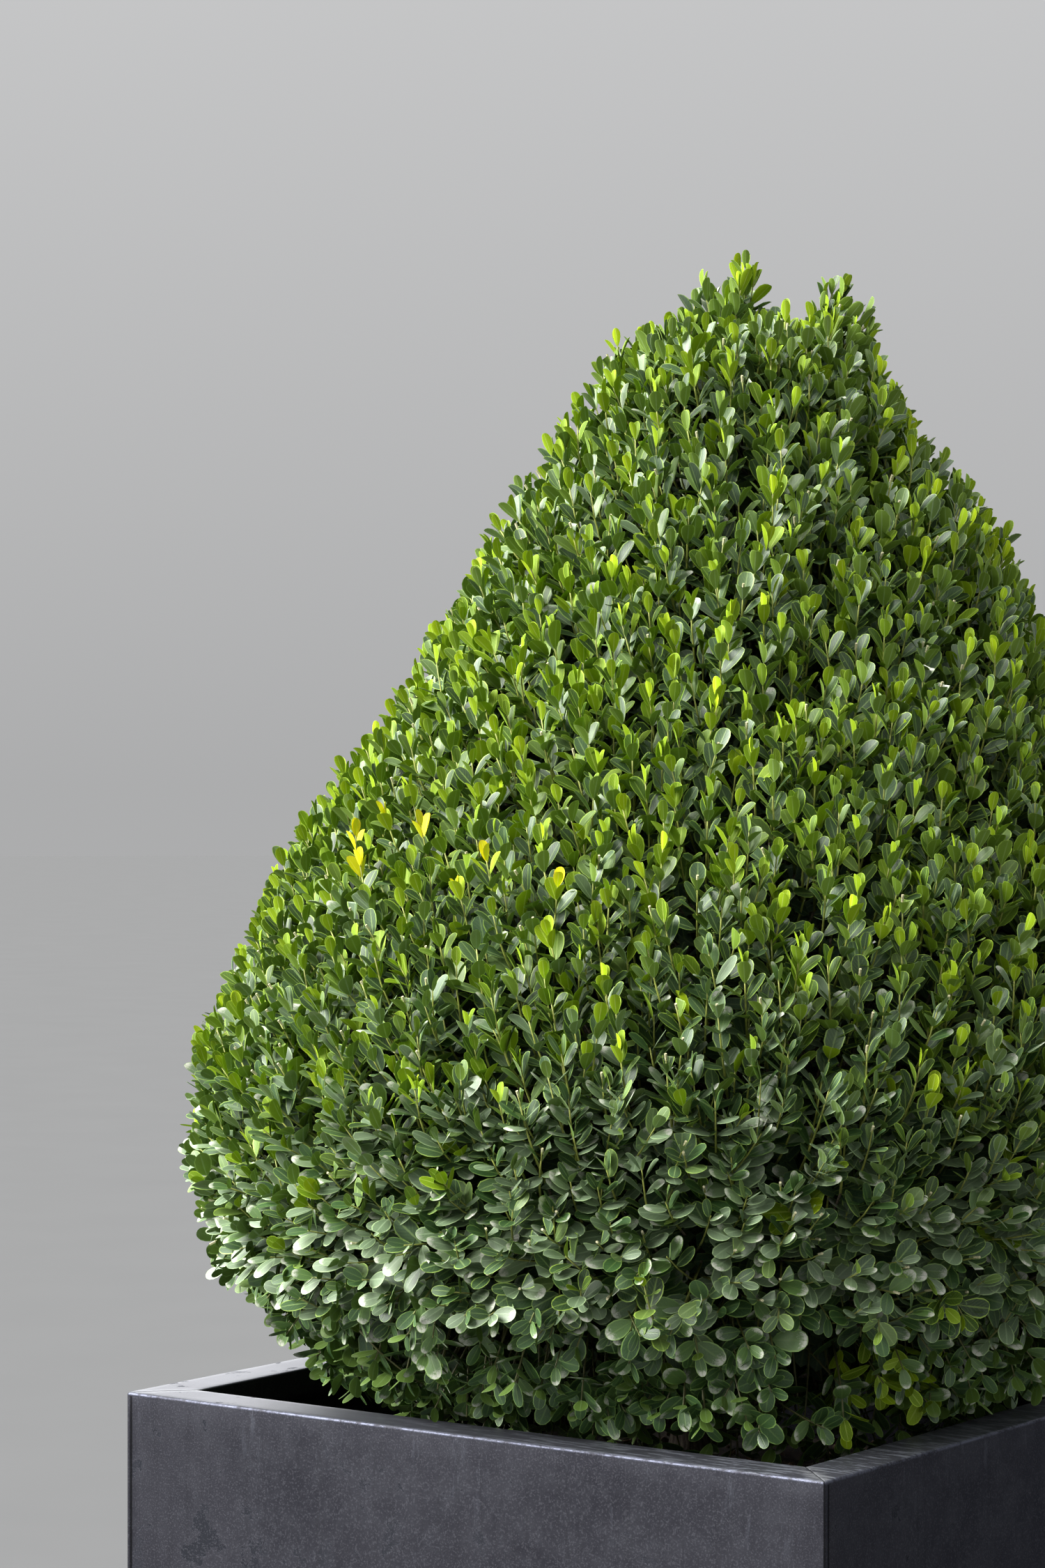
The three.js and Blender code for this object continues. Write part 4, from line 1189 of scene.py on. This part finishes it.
def leaf_finish(name, deep, light, rib, margin, under, rough=0.40, shine=0.5, bloom_dust_and_highlight=0.0):
    """A waxy leaf: two shades between which each square varies, then midrib, margin and bloom. The whitish
    bloom on the tip is partly a dusty film and partly a painted highlight, and the bright underside is
    partly painted light shining through the leaf.
    """
    f = Finish(name)
    board = f.node("ShaderNodeUVMap", {"uv_map": "OFBake"})
    scaled = f.node("ShaderNodeVectorMath", {"operation": "SCALE"}, {0: board, 3: float(BOARD)})
    square = f.node("ShaderNodeVectorMath", {"operation": "FLOOR"}, {0: scaled})
    inside = f.node("ShaderNodeVectorMath", {"operation": "FRACTION"}, {0: scaled})
    side, rise, _ = f.axes(inside)
    span = 1 - 2 * SQUARE_MARGIN
    across = f.math("ABSOLUTE", (side - 0.5) * (2 / span))
    along = (rise - SQUARE_MARGIN) * (1 / span)
    shade = f.node("ShaderNodeTexWhiteNoise", {"noise_dimensions": "2D"}, {0: square})
    second = f.node("ShaderNodeVectorMath", {"operation": "ADD"}, {0: square, 1: SECOND_DRAW})
    tint = f.node("ShaderNodeTexWhiteNoise", {"noise_dimensions": "2D"}, {0: second})
    blotch = f.noise(scaled, 3.1, 3.0, 0.6)
    specks = f.noise(scaled, 19.0, 3.0, 0.65)
    veins = f.math("SINE", (along - across * 0.35) * 44.0)
    colour = f.mix(shade * 0.75 + blotch * 0.25, deep, light)
    colour = f.mix(f.step(tint, 0.55, 1.0) * 0.30, colour, margin)
    colour = f.mix(f.step(veins, 0.2, 1.0) * 0.10, colour, rib)
    colour = f.mix(f.step(specks, 0.56, 0.72) * 0.10, colour, SPECK)
    gloss = rough + specks * 0.10 + blotch * 0.08
    if bloom_dust_and_highlight > 0.0:
        # whitish tips: partly a dusty film, partly a painted highlight
        bloom = f.step(along * 0.9 + specks * 0.35 + blotch * 0.5, 1.04, 1.28) * f.step(tint, 0.50, 0.72)
        colour = f.mix(bloom * bloom_dust_and_highlight, colour, TIP_DUST_AND_HIGHLIGHT)
    # undersides: the leaf's own paler colour, made brighter as painted light shining through the leaf
    back = f.node("ShaderNodeNewGeometry", output=6)
    colour = f.mix(back * 0.88, colour, under)
    colour = f.mix((1 - f.step(across, 0.03, 0.15)) * (1.0 - along * 0.6) * 0.85, colour, rib)
    border = f.math("MAXIMUM", f.step(across, 0.81, 0.93), f.step(along, 0.955, 0.985))
    colour = f.mix(border * 0.90, colour, margin)
    colour = f.mix((1 - f.step(along, 0.0, 0.16)) * 0.5, colour, rib)
    height = f.step(across, 0.0, 0.12) * 0.5 + veins * 0.06 + blotch * 0.3
    return f.surface(Base_Color=colour, Roughness=gloss + back * 0.20, Specular_IOR_Level=shine,
                     Normal=f.bump(height, 0.35, 0.0004))


# In each kind the fifth colour is the underside: partly the leaf's paler colour, partly painted light
# shining through it.
KINDS = {
    "deep": leaf_finish("leaf_deep", (0.018, 0.044, 0.011), (0.036, 0.076, 0.022),
                        (0.24, 0.36, 0.08), (0.32, 0.48, 0.07), (0.145, 0.250, 0.010), 0.38, 0.50),
    "blue": leaf_finish("leaf_blue", (0.036, 0.078, 0.026), (0.066, 0.127, 0.050),
                        (0.28, 0.40, 0.14), (0.34, 0.50, 0.11), (0.160, 0.265, 0.018), 0.36, 0.60),
    "mid": leaf_finish("leaf_mid", (0.040, 0.088, 0.008), (0.078, 0.150, 0.014),
                       (0.30, 0.44, 0.08), (0.37, 0.55, 0.06), (0.190, 0.315, 0.008), 0.40, 0.36),
    "fresh": leaf_finish("leaf_fresh", (0.105, 0.190, 0.005), (0.182, 0.290, 0.007),
                         (0.42, 0.54, 0.10), (0.40, 0.57, 0.05), (0.265, 0.400, 0.006), 0.46, 0.20),
    "lime": leaf_finish("leaf_lime", (0.195, 0.298, 0.004), (0.285, 0.400, 0.006),
                        (0.50, 0.62, 0.12), (0.50, 0.64, 0.05), (0.345, 0.485, 0.006), 0.48, 0.16),
    "gold": leaf_finish("leaf_gold", (0.54, 0.60, 0.006), (0.74, 0.72, 0.010),
                        (0.80, 0.80, 0.12), (0.78, 0.58, 0.03), (0.68, 0.70, 0.008), 0.48, 0.20),
    "dusty": leaf_finish("leaf_dusty", (0.020, 0.058, 0.013), (0.048, 0.112, 0.030),
                         (0.13, 0.22, 0.06), (0.20, 0.34, 0.08), (0.100, 0.180, 0.018), 0.36, 0.65, 0.60),
    # pale grey-green leaves: partly a dusty film, partly painted sheen on upper sides in the light
    "chalky": leaf_finish("leaf_dust_and_sheen", (0.100, 0.160, 0.076), (0.174, 0.240, 0.140),
                          (0.28, 0.38, 0.22), (0.36, 0.50, 0.24), (0.130, 0.220, 0.034), 0.38, 0.70, 0.85),
}

# %% [markdown]
# Colours are dealt out by spray, so the young growth sits on whole shoots as it does on the plant.
# On the cone most shoots end in one fresh pair, and about one in five is new further down as well.
# Patches have more or less of it, by a low noise. Near the foot hardly anything is new: the leaves
# are old, rounder and dusty. Those that lie level on the flank, and a few near the top, are often
# painted pale: partly a dusty film, and partly painted sheen where their upper sides catch the light
# from above. A few shoots on the left are nearly yellow. Some were clipped through, and their top
# leaves end in a straight cut. Beside the hollow many leaves are yellow-green, as they are in the
# photograph.

# %% Deal out the leaves
PALE_LEAVES = np.array([0.300, -0.165, HEIGHT + 0.020])
PALE_REACH = 0.062
PATCH_STRENGTH, PATCH_CELL, PATCH_SEED = 0.16, 0.16, 81
NEW_SHARE = 0.20
NEW_ON_TOP = 0.08
CLIPPED_SHARE = 0.22
DEEP_SHARE = 0.44
BLUE_SHARE = 0.80
MID_INSTEAD = 0.35
# shares of leaves painted pale, partly a dusty film and partly painted sheen: low down, on the flank, near
# the top
DUST_AND_SHEEN_LOW = 0.10
DUST_AND_SHEEN_FLANK = 0.56
DUST_AND_SHEEN_TOP = 0.13
NEARLY_LEVEL = 0.35
OLD_TOP_PAIRS = 0.36
luck = np.random.default_rng(23)


def deal_shoots(shoots, source):
    """For each shoot: whether it is new, yellow, clipped through, low or shaded, and its tone.

    silver is the share of level leaves painted pale, partly a dusty film and partly painted sheen, and high
    goes from 0 to 1 towards the top.
    """
    count = len(shoots["tip"])
    height = shoots["height"]
    wave = PATCH_STRENGTH * lattice_noise(shoots["tip"], PATCH_CELL, PATCH_SEED)
    share = (NEW_SHARE + wave) * smoothstep(height, 0.14, 0.40)
    share = share + NEW_ON_TOP * smoothstep(height, 0.65, 0.90)
    fresh = source.uniform(size=count) < share
    gold = shoots["gold"]
    clipped = (source.uniform(size=count) < CLIPPED_SHARE) & ~fresh & ~gold & (height > 0.1)
    edge = height + 0.7 * wave
    low = source.uniform(size=count) < 1 - smoothstep(edge, 0.06, 0.46)
    foot = height < 0.06 + 0.08 * source.uniform(size=count)
    silver = smoothstep(height, 0.02, 0.19) * (1 - smoothstep(edge, 0.15, 0.48))
    tone = source.uniform(size=count) - 0.30 * silver
    high = smoothstep(height, 0.50, 0.85)
    not_deep = np.where(tone < BLUE_SHARE + 0.14 * high, 1, 2)
    tone = np.where(tone < DEEP_SHARE - 0.30 * high, 0, not_deep)
    shaded = np.linalg.norm(shoots["tip"] - PALE_LEAVES, axis=1) < PALE_REACH
    return {"fresh": fresh, "gold": gold, "clipped": clipped, "low": low, "foot": foot, "tone": tone,
            "silver": silver, "high": high, "shaded": shaded}


def deal_leaves(leaves, dealt, source):
    """The kind and the form of each leaf, from its shoot and its pair."""
    shoot, pair = leaves["shoot"], leaves["pair"]
    chance = source.uniform(size=len(shoot))
    kind = np.array(["deep", "blue", "mid"])[dealt["tone"][shoot]]
    lighter = (pair <= 1) & (kind == "deep") & (chance < MID_INSTEAD * (1 - dealt["high"][shoot]))
    kind = np.where(lighter, "mid", kind)
    low, foot = dealt["low"][shoot], dealt["foot"][shoot]
    kind = np.where(low, np.where(foot | (chance > 0.75), "dusty", "blue"), kind)
    # level leaves painted pale: partly a dusty film, partly painted sheen from the light above
    pale = chance < DUST_AND_SHEEN_LOW * low + DUST_AND_SHEEN_FLANK * dealt["silver"][shoot]
    pale &= leaves["facing"][:, 2] > NEARLY_LEVEL
    pale |= (chance < DUST_AND_SHEEN_TOP * dealt["high"][shoot]) & (pair > 0)
    kind = np.where(pale, "chalky", kind)
    kind = np.where(dealt["shaded"][shoot] & (chance > 0.62), "fresh", kind)
    fresh = dealt["fresh"][shoot]
    kind = np.where((pair == 0) & ~low & (chance > OLD_TOP_PAIRS), "fresh", kind)
    kind = np.where(fresh & (pair == 0), np.where(chance < 0.56, "lime", "fresh"), kind)
    kind = np.where(fresh & (pair == 1), np.where(chance < 0.08, "lime", "fresh"), kind)
    kind = np.where(fresh & (pair == 2) & (chance < 0.15), "fresh", kind)
    yellow = (pair == 0) | (chance < 0.4)
    kind = np.where(dealt["gold"][shoot] & (pair <= 1), np.where(yellow, "gold", "lime"), kind)
    form = np.where(pair >= 2, np.where(chance < 0.5, SLIM, BROAD), SLIM)
    form = np.where((fresh | dealt["gold"][shoot]) & (pair <= 1), YOUNG, form)
    form = np.where(low, np.where(chance < 0.7, ROUND, BROAD), form)
    form = np.where(dealt["clipped"][shoot] & (pair == 1) & (chance < 0.7), CUT, form)
    return kind, form


outer_dealt = deal_shoots(outer, luck)
under_dealt = deal_shoots(under, luck)
under_dealt["fresh"] &= luck.uniform(size=len(under["tip"])) < 0.3
under_dealt["clipped"][:] = False
print("new shoots:", int(np.sum(outer_dealt["fresh"])), "of", len(outer["tip"]))

# %% [markdown]
# Not every leaf stays. A clipped shoot has lost its top pair, low shoots are bare further back, and a
# leaf that would run into the planter or the soil is left out. The pairs nearest a tip get the
# finer form, because they are the ones that show.

# %% Leaves that stay
FINE_PAIRS = 3
batches = []
for shoots, leaves, dealt, fine_pairs in ((outer, outer_leaves, outer_dealt, FINE_PAIRS),
                                          (under, under_leaves, under_dealt, 0)):
    kind, form = deal_leaves(leaves, dealt, luck)
    gone = dealt["clipped"][leaves["shoot"]] & (leaves["pair"] == 0)
    shoots["leafy"] = np.zeros(len(shoots["tip"]), dtype=bool)
    bare = shoots["height"] < 0.05 + 0.22 * luck.uniform(size=len(shoots["tip"]))
    gone |= bare[leaves["shoot"]] & (leaves["pair"] >= fine_pairs)
    for stations, chosen in ((FINE, leaves["pair"] < fine_pairs), (COARSE, leaves["pair"] >= fine_pairs)):
        picked = {key: value[chosen & ~gone] for key, value in leaves.items()}
        points = leaf_points(picked, leaf_forms(stations)[form[chosen & ~gone]])
        keep = stays_clear(points)
        shoots["leafy"][picked["shoot"][keep]] = True
        if np.any(keep):
            batches.append((stations, kind[chosen & ~gone][keep], points[keep]))
print("leaves kept:", sum(len(kind) for _, kind, _ in batches))

# %% [markdown]
# All leaves of a kind become one mesh, because thousands of separate objects would be slow to draw
# and to export. The numbers of a leaf's faces are those of its form, moved on by the points of all
# leaves before it. A kind with too many faces for one mesh is dealt out over two.

# %% Leaf meshes
MOST_FACES = 195000


def leaf_batch(points, faces, pattern, source):
    """Points, faces and texture places of many leaves, each on a random square of the board."""
    count, each = points.shape[:2]
    square = source.integers(0, BOARD, (count, 1, 2))
    uv = (square + SQUARE_MARGIN + (1 - 2 * SQUARE_MARGIN) * pattern[None]) / BOARD
    numbers = (np.arange(count) * each)[:, None, None] + faces
    return points.reshape(-1, 3), numbers.reshape(-1, 3), uv.reshape(-1, 2)


for kind, material in KINDS.items():
    found = [(stations, points[kinds == kind]) for stations, kinds, points in batches]
    faces_in_all = sum(len(points) * len(leaf_faces(len(stations) - 2)) for stations, points in found)
    parts = math.ceil(faces_in_all / MOST_FACES)
    for part in range(parts):
        made = [leaf_batch(np.array_split(points, parts)[part], leaf_faces(len(stations) - 2),
                           leaf_pattern(stations), luck) for stations, points in found]
        first = np.cumsum([0] + [len(points) for points, _, _ in made])
        name = f"leaves_{kind}" if parts == 1 else f"leaves_{kind}_{part + 1}"
        add_piece(
            name, np.concatenate([points for points, _, _ in made]),
            [faces + start for (_, faces, _), start in zip(made, first)], material,
            uv=np.concatenate([uv for _, _, uv in made]))
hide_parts("crown_foliage")

# %% [markdown]
# The shoots' own stems are thin and green, and browner and darker near the foot: partly older wood,
# partly painted shade. A curve object with a bevel would do for one of them. For thousands, one mesh
# of three-sided tubes is lighter, and the same helper that made the limbs makes it. Only shoots that
# kept a leaf get a stem.

# %% Green stems
STEM_STEPS = 4
STEM_RADII = (0.00125, 0.00062)
OLD_AND_SHADED_STEM = (0.060, 0.058, 0.028)


def stem_finish():
    """Green with yellowish ridges, turning to a darker brown from 20 cm over the rim downwards: partly older
    wood, partly painted shade.
    """
    f = Finish("green_stem")
    place = f.object_place()
    patches = f.noise(place, 120.0, 3.0, 0.6)
    ridges = f.noise(f.stretched(place, (1500.0, 1500.0, 200.0)), 1.0, 2.0, 0.5)
    colour = f.mix(f.step(patches, 0.35, 0.65), (0.19, 0.22, 0.040), (0.34, 0.38, 0.075))
    colour = f.mix(f.step(ridges, 0.55, 0.7) * 0.4, colour, (0.42, 0.36, 0.13))
    # darker and browner low down: partly older wood, partly painted shade
    age_and_shade = 0.85 - f.step(f.axes(place)[2], HEIGHT + 0.04, HEIGHT + 0.20) * 0.85
    colour = f.mix(age_and_shade, colour, OLD_AND_SHADED_STEM)
    return f.surface(Base_Color=colour, Roughness=0.55, Normal=f.bump(ridges, 0.4, 0.0003))


stems = joined(outer, under)
stems = {key: value[stems["leafy"]] for key, value in stems.items()}
stem_paths = bends(stems["root"], shoot_middle(stems), stems["tip"] + stems["way"] * 0.002, STEM_STEPS)
stem_radii = np.broadcast_to(np.linspace(*STEM_RADII, STEM_STEPS), stem_paths.shape[:2])
tube_piece("stems_green", tubes(stem_paths, stem_radii, 3), stem_finish())

# %% [markdown]
# Where shears went through a shoot, its stem ends in a small pale disc. From a few steps away these
# are only bright dots among the leaves, but they tell that the plant is clipped. Each is a short
# five-sided peg that stands out of the stem's end.

# %% Cut ends
PEG_LENGTH = 0.006
PEG_RADIUS = 0.0011
PEG_SIDES = 5


def cut_end_finish():
    """Pale dry wood with fine rings."""
    f = Finish("cut_end")
    rings = f.noise(f.object_place(), 900.0, 3.0, 0.6)
    colour = f.mix(f.step(rings, 0.35, 0.65), (0.42, 0.40, 0.20), (0.66, 0.62, 0.42))
    return f.surface(Base_Color=colour, Roughness=0.7, Normal=f.bump(rings, 0.4, 0.0002))


cut = outer_dealt["clipped"] & outer["leafy"]
peg = outer["way"][cut] * PEG_LENGTH
peg_start = outer["tip"][cut] - peg / 2
peg_paths = np.stack([peg_start, peg_start + peg], axis=1)
peg_radii = np.full(peg_paths.shape[:2], PEG_RADIUS)
tube_piece("stems_cut_ends", tubes(peg_paths, peg_radii, PEG_SIDES), cut_end_finish(),
           smooth=False)

# %% [markdown]
# Inside the crown the trunk goes on upwards as a leader, thinner and thinner, and branches fan out
# from it and from the boughs. All of it is hidden but for what shows through gaps. It is built all
# the same, so that every shoot hangs on something. A branch starts below its tip and rises to it,
# so the framework climbs as a real one does. Those low in the crown start at the nearest bough's end.

# %% Leader and branches
LEADER_STEPS = 60
LEADER_SIDES = 16
LEADER_FOOT = (0.007, 0.005, 0.7223)
LEADER_HEIGHTS = np.array([0.12, 0.30, 0.52, 0.74, 0.93])
LEADER_WANDER = 0.006
LEADER_RADII = (0.0148, 0.0016)
LEADER_RELIEF = 0.0007
BRANCHES = 130
BRANCH_STEPS = 8
BRANCH_SIDES = 6
BRANCH_INSET = 0.165
BRANCH_RADII = (0.0056, 0.0021)
BRANCH_CLIMB = 0.65
BRANCH_SAG = 0.10
START_HEIGHTS = (0.735, 1.60)
LOW_CROWN = HEIGHT + 0.34
luck = np.random.default_rng(5)
leader_path = through([LEADER_FOOT, *crown_middle(LEADER_HEIGHTS)], LEADER_STEPS)
wander = [lattice_noise(leader_path[1:-1], 0.09, seed) for seed in (3, 4)]
leader_path[1:-1, :2] += LEADER_WANDER * np.stack(wander, axis=1)
leader_radius = LEADER_RADII[0] * (1 - np.linspace(0, 1, LEADER_STEPS)) ** 0.8 + LEADER_RADII[1]
leader_relief = bark_relief(leader_path, LEADER_SIDES, leader_radius, LEADER_RELIEF)
leader_rings = tubes(leader_path[None], (leader_radius[:, None] + leader_relief)[None], LEADER_SIDES)
tube_piece("crown_leader", leader_rings, BARK)

branch_height, branch_place, branch_out = outline_places(BRANCHES, 0.9, 0.3, luck)
inset = np.minimum(BRANCH_INSET, 0.5 * outline_radius(branch_height))
branch_tip = branch_place - branch_out * inset[:, None]
reach = np.linalg.norm(branch_tip[:, :2] - crown_middle(branch_height)[:, :2], axis=1)
start_height = np.clip(branch_tip[:, 2] - BRANCH_CLIMB * reach, *START_HEIGHTS)
branch_start = np.stack([np.interp(start_height, leader_path[:, 2], leader_path[:, axis])
                         for axis in range(3)], axis=1)
bough_ends = np.array([bough_knots(index)[-1] for index in range(BOUGHS)])
bough_away = np.linalg.norm(branch_tip[:, None] - bough_ends[None], axis=2)
from_bough = branch_tip[:, 2] < LOW_CROWN
branch_start[from_bough] = bough_ends[np.argmin(bough_away, axis=1)][from_bough]
middle = (branch_start + branch_tip) / 2 - UP * (BRANCH_SAG * reach)[:, None]
middle[from_bough] = (0.6 * branch_start + 0.4 * branch_tip + UP * 0.02)[from_bough]
branch_paths = bends(branch_start, middle, branch_tip, BRANCH_STEPS)
branch_radii = np.linspace(*BRANCH_RADII, BRANCH_STEPS) * luck.uniform(0.8, 1.2, (BRANCHES, 1))
tube_piece("crown_branches", tubes(branch_paths, branch_radii, BRANCH_SIDES), BARK)

# %% [markdown]
# A twig joins each green stem to the framework. It starts at the nearest point of a branch, where
# a point above the stem counts as further away, because twigs grow upwards. It leaves the branch
# freely and comes in line with its stem, which the middle point of its curve takes care of.

# %% Twigs
TWIG_STEPS = 3
TWIG_RADII = (0.0019, STEM_RADII[0])
ABOVE_COST = 1.2
TWIG_BEND = 0.45
joints = branch_paths[:, 3:].reshape(-1, 3)
away = np.linalg.norm(stems["root"][:, None] - joints[None], axis=2)
below = (joints[None, :, 2] - stems["root"][:, None, 2]).clip(-0.02, None)
twig_start = joints[np.argmin(away + ABOVE_COST * below, axis=1)]
twig_length = np.linalg.norm(stems["root"] - twig_start, axis=1)
twig_middle = stems["root"] - stems["way"] * (TWIG_BEND * twig_length)[:, None]
twig_paths = bends(twig_start, twig_middle, stems["root"], TWIG_STEPS)
twig_radii = np.broadcast_to(np.linspace(*TWIG_RADII, TWIG_STEPS), twig_paths.shape[:2])
tube_piece("crown_twigs", tubes(twig_paths, twig_radii, 3), TWIG_BARK)

# %% [markdown]
# Behind the shoots that show, each twig carries a few old leaves of its own. They are seen only as
# dark shapes in the gaps, but without them daylight would fall right through the crown.
# So they have a plainer form, a strip of four stations with eight faces. None grow in the hollow.

# %% Inner leaves
PLAIN = np.array([0.0, 0.35, 0.8, 1.0])
INNER_HALF = 0.43
INNER_BACK = [0.008, 0.030]
INNER_SPREAD = [55, 65]
INNER_LENGTH = [0.026, 0.026]
INNER_WIDTH = [0.58, 0.58]
inner_across = INNER_HALF * np.tile([-1.0, 0.0, 1.0], 2) * np.repeat([0.95, 1.0], 3)
inner_rows = np.stack([inner_across, np.repeat(PLAIN[1:-1], 3), np.tile([0.04, 0.0, 0.04], 2)], axis=1)
inner_leaf = np.concatenate([[[0, 0, 0]], inner_rows, [[0, 1, -0.05]]])


def inner_leaves(source):
    """Two pairs of leaves on the outer part of each twig."""
    shoots = {"root": twig_start, "tip": stems["root"], "out": stems["out"], "height": stems["height"]}
    leaves = leaf_pairs(shoots, INNER_BACK, INNER_SPREAD, INNER_LENGTH, INNER_WIDTH, source)
    return leaf_points(leaves, inner_leaf)


INNER = leaf_finish("leaf_inner", (0.014, 0.038, 0.016), (0.030, 0.066, 0.024),
                    (0.08, 0.12, 0.04), (0.08, 0.12, 0.035), (0.06, 0.10, 0.03), 0.5, 0.35)
inner = inner_leaves(luck)
in_hollow = np.linalg.norm(inner[:, 0] - HOLLOW, axis=1) < 1.7 * HOLLOW_REACH
inner = inner[stays_clear(inner) & ~in_hollow]
inner_faces = leaf_faces(len(PLAIN) - 2)
inner_points, inner_numbers, inner_uv = leaf_batch(inner, inner_faces, leaf_pattern(PLAIN), luck)
add_piece("leaves_inner", inner_points, [inner_numbers], INNER, uv=inner_uv)

# %% [markdown]
# The studio is plain. Its floor is so wide that its far edge lies at the horizon. Its grey is
# chosen so that it ends up as bright as the surround, and the horizon all but disappears. It is
# not attached to the plant's body, so it is drawn but isn't a piece of the plant.

# %% Floor
FLOOR_REACH = 60.0
FLOOR_CORNERS = 64


def floor_finish():
    """A matt grey with a barely visible cloudiness, and no highlight."""
    f = Finish("studio_floor")
    grain = f.noise(f.object_place(), 3.0, 4.0, 0.5)
    colour = f.mix(grain, (0.137, 0.139, 0.141), (0.147, 0.149, 0.151))
    return f.surface(Base_Color=colour, Roughness=0.9, Specular_IOR_Level=0.0)


floor_ring = np.linspace(0, 2 * math.pi, FLOOR_CORNERS, endpoint=False)
floor_mesh = bpy.data.meshes.new("studio_floor")
floor_mesh.from_pydata([(FLOOR_REACH * math.cos(a), FLOOR_REACH * math.sin(a), 0.0) for a in floor_ring],
                       [], [list(range(FLOOR_CORNERS))])
floor_mesh.materials.append(floor_finish())
floor = bpy.data.objects.new("studio_floor", floor_mesh)
bpy.context.scene.collection.objects.link(floor)
print("floor:", 2 * FLOOR_REACH, "m across")

# %% [markdown]
# The light is one broad soft source high on the left, as the open sky is in the photograph. An area
# lamp would light the floor near it more than the rest. A sun lamp is equally strong everywhere, and
# its angle is the width of its disc: at fifty-five degrees its shadows are as soft as those of a
# window. A weak lamp beyond the planter's left corner gives its rim the sheen that shows there.

# %% Lamps
SUN_WAY = unit(-0.84 * ACROSS - 0.08 * AWAY + 0.58 * UP)
SUN_WIDTH = 55.0
SUN_STRENGTH = 11.0
SUN_TINT = (1.0, 0.99, 0.97)
RIM_LAMP_PLACE = np.array([-2.45, 1.95, 1.25])
RIM_LAMP_AIM = np.array([-0.33, -0.33, 0.70])
RIM_LAMP_WATTS = 2.4
RIM_LAMP_SIZE = 1.1
RIM_LAMP_SPREAD = 50.0


def turned_to(piece, place, back):
    """Put a lamp at a place, turned so that it shines along the direction opposite to back."""
    side = unit(np.cross(UP, back))
    for column, axis in enumerate((side, np.cross(back, side), back, np.array(place, dtype=float))):
        for row in range(3):
            piece.matrix_world[row][column] = axis[row]
    bpy.context.scene.collection.objects.link(piece)


sun = bpy.data.objects.new("lamp_sky", bpy.data.lights.new("lamp_sky", "SUN"))
sun.data.energy = SUN_STRENGTH
sun.data.angle = math.radians(SUN_WIDTH)
sun.data.color = SUN_TINT
turned_to(sun, 6.0 * SUN_WAY, SUN_WAY)

rim_lamp = bpy.data.objects.new("lamp_rim", bpy.data.lights.new("lamp_rim", "AREA"))
rim_lamp.data.size = RIM_LAMP_SIZE
rim_lamp.data.energy = RIM_LAMP_WATTS
rim_lamp.data.spread = math.radians(RIM_LAMP_SPREAD)
turned_to(rim_lamp, RIM_LAMP_PLACE, unit(RIM_LAMP_PLACE - RIM_LAMP_AIM))
rim_lamp.visible_camera = False
print("light comes from", np.round(SUN_WAY, 2))

# %% [markdown]
# A pale surround fills the shadows. As on an overcast day it is the same all round and more than
# twice as bright overhead as at the horizon. An image of a sky would do it too, but two numbers
# are enough here: the height of each direction, from 0 to 1, is turned into a strength.
# The plain view transform shows colours as they are, as the photograph does.

# %% Surround
SURROUND = 0.42
OVERHEAD = 1.12
SKY_TINT = (0.985, 0.99, 1.0, 1.0)

world = bpy.data.worlds.new("studio")
world.use_nodes = True
nodes, links = world.node_tree.nodes, world.node_tree.links
way = nodes.new("ShaderNodeTexCoord")
axes = nodes.new("ShaderNodeSeparateXYZ")
rise = nodes.new("ShaderNodeMapRange")
rise.inputs["To Min"].default_value = SURROUND
rise.inputs["To Max"].default_value = OVERHEAD
links.new(way.outputs["Generated"], axes.inputs[0])
links.new(axes.outputs["Z"], rise.inputs["Value"])
links.new(rise.outputs["Result"], nodes["Background"].inputs["Strength"])
nodes["Background"].inputs["Color"].default_value = SKY_TINT
bpy.context.scene.world = world
bpy.context.scene.view_settings.view_transform = "Standard"
print("surround:", SURROUND, "at the horizon,", OVERHEAD, "overhead")
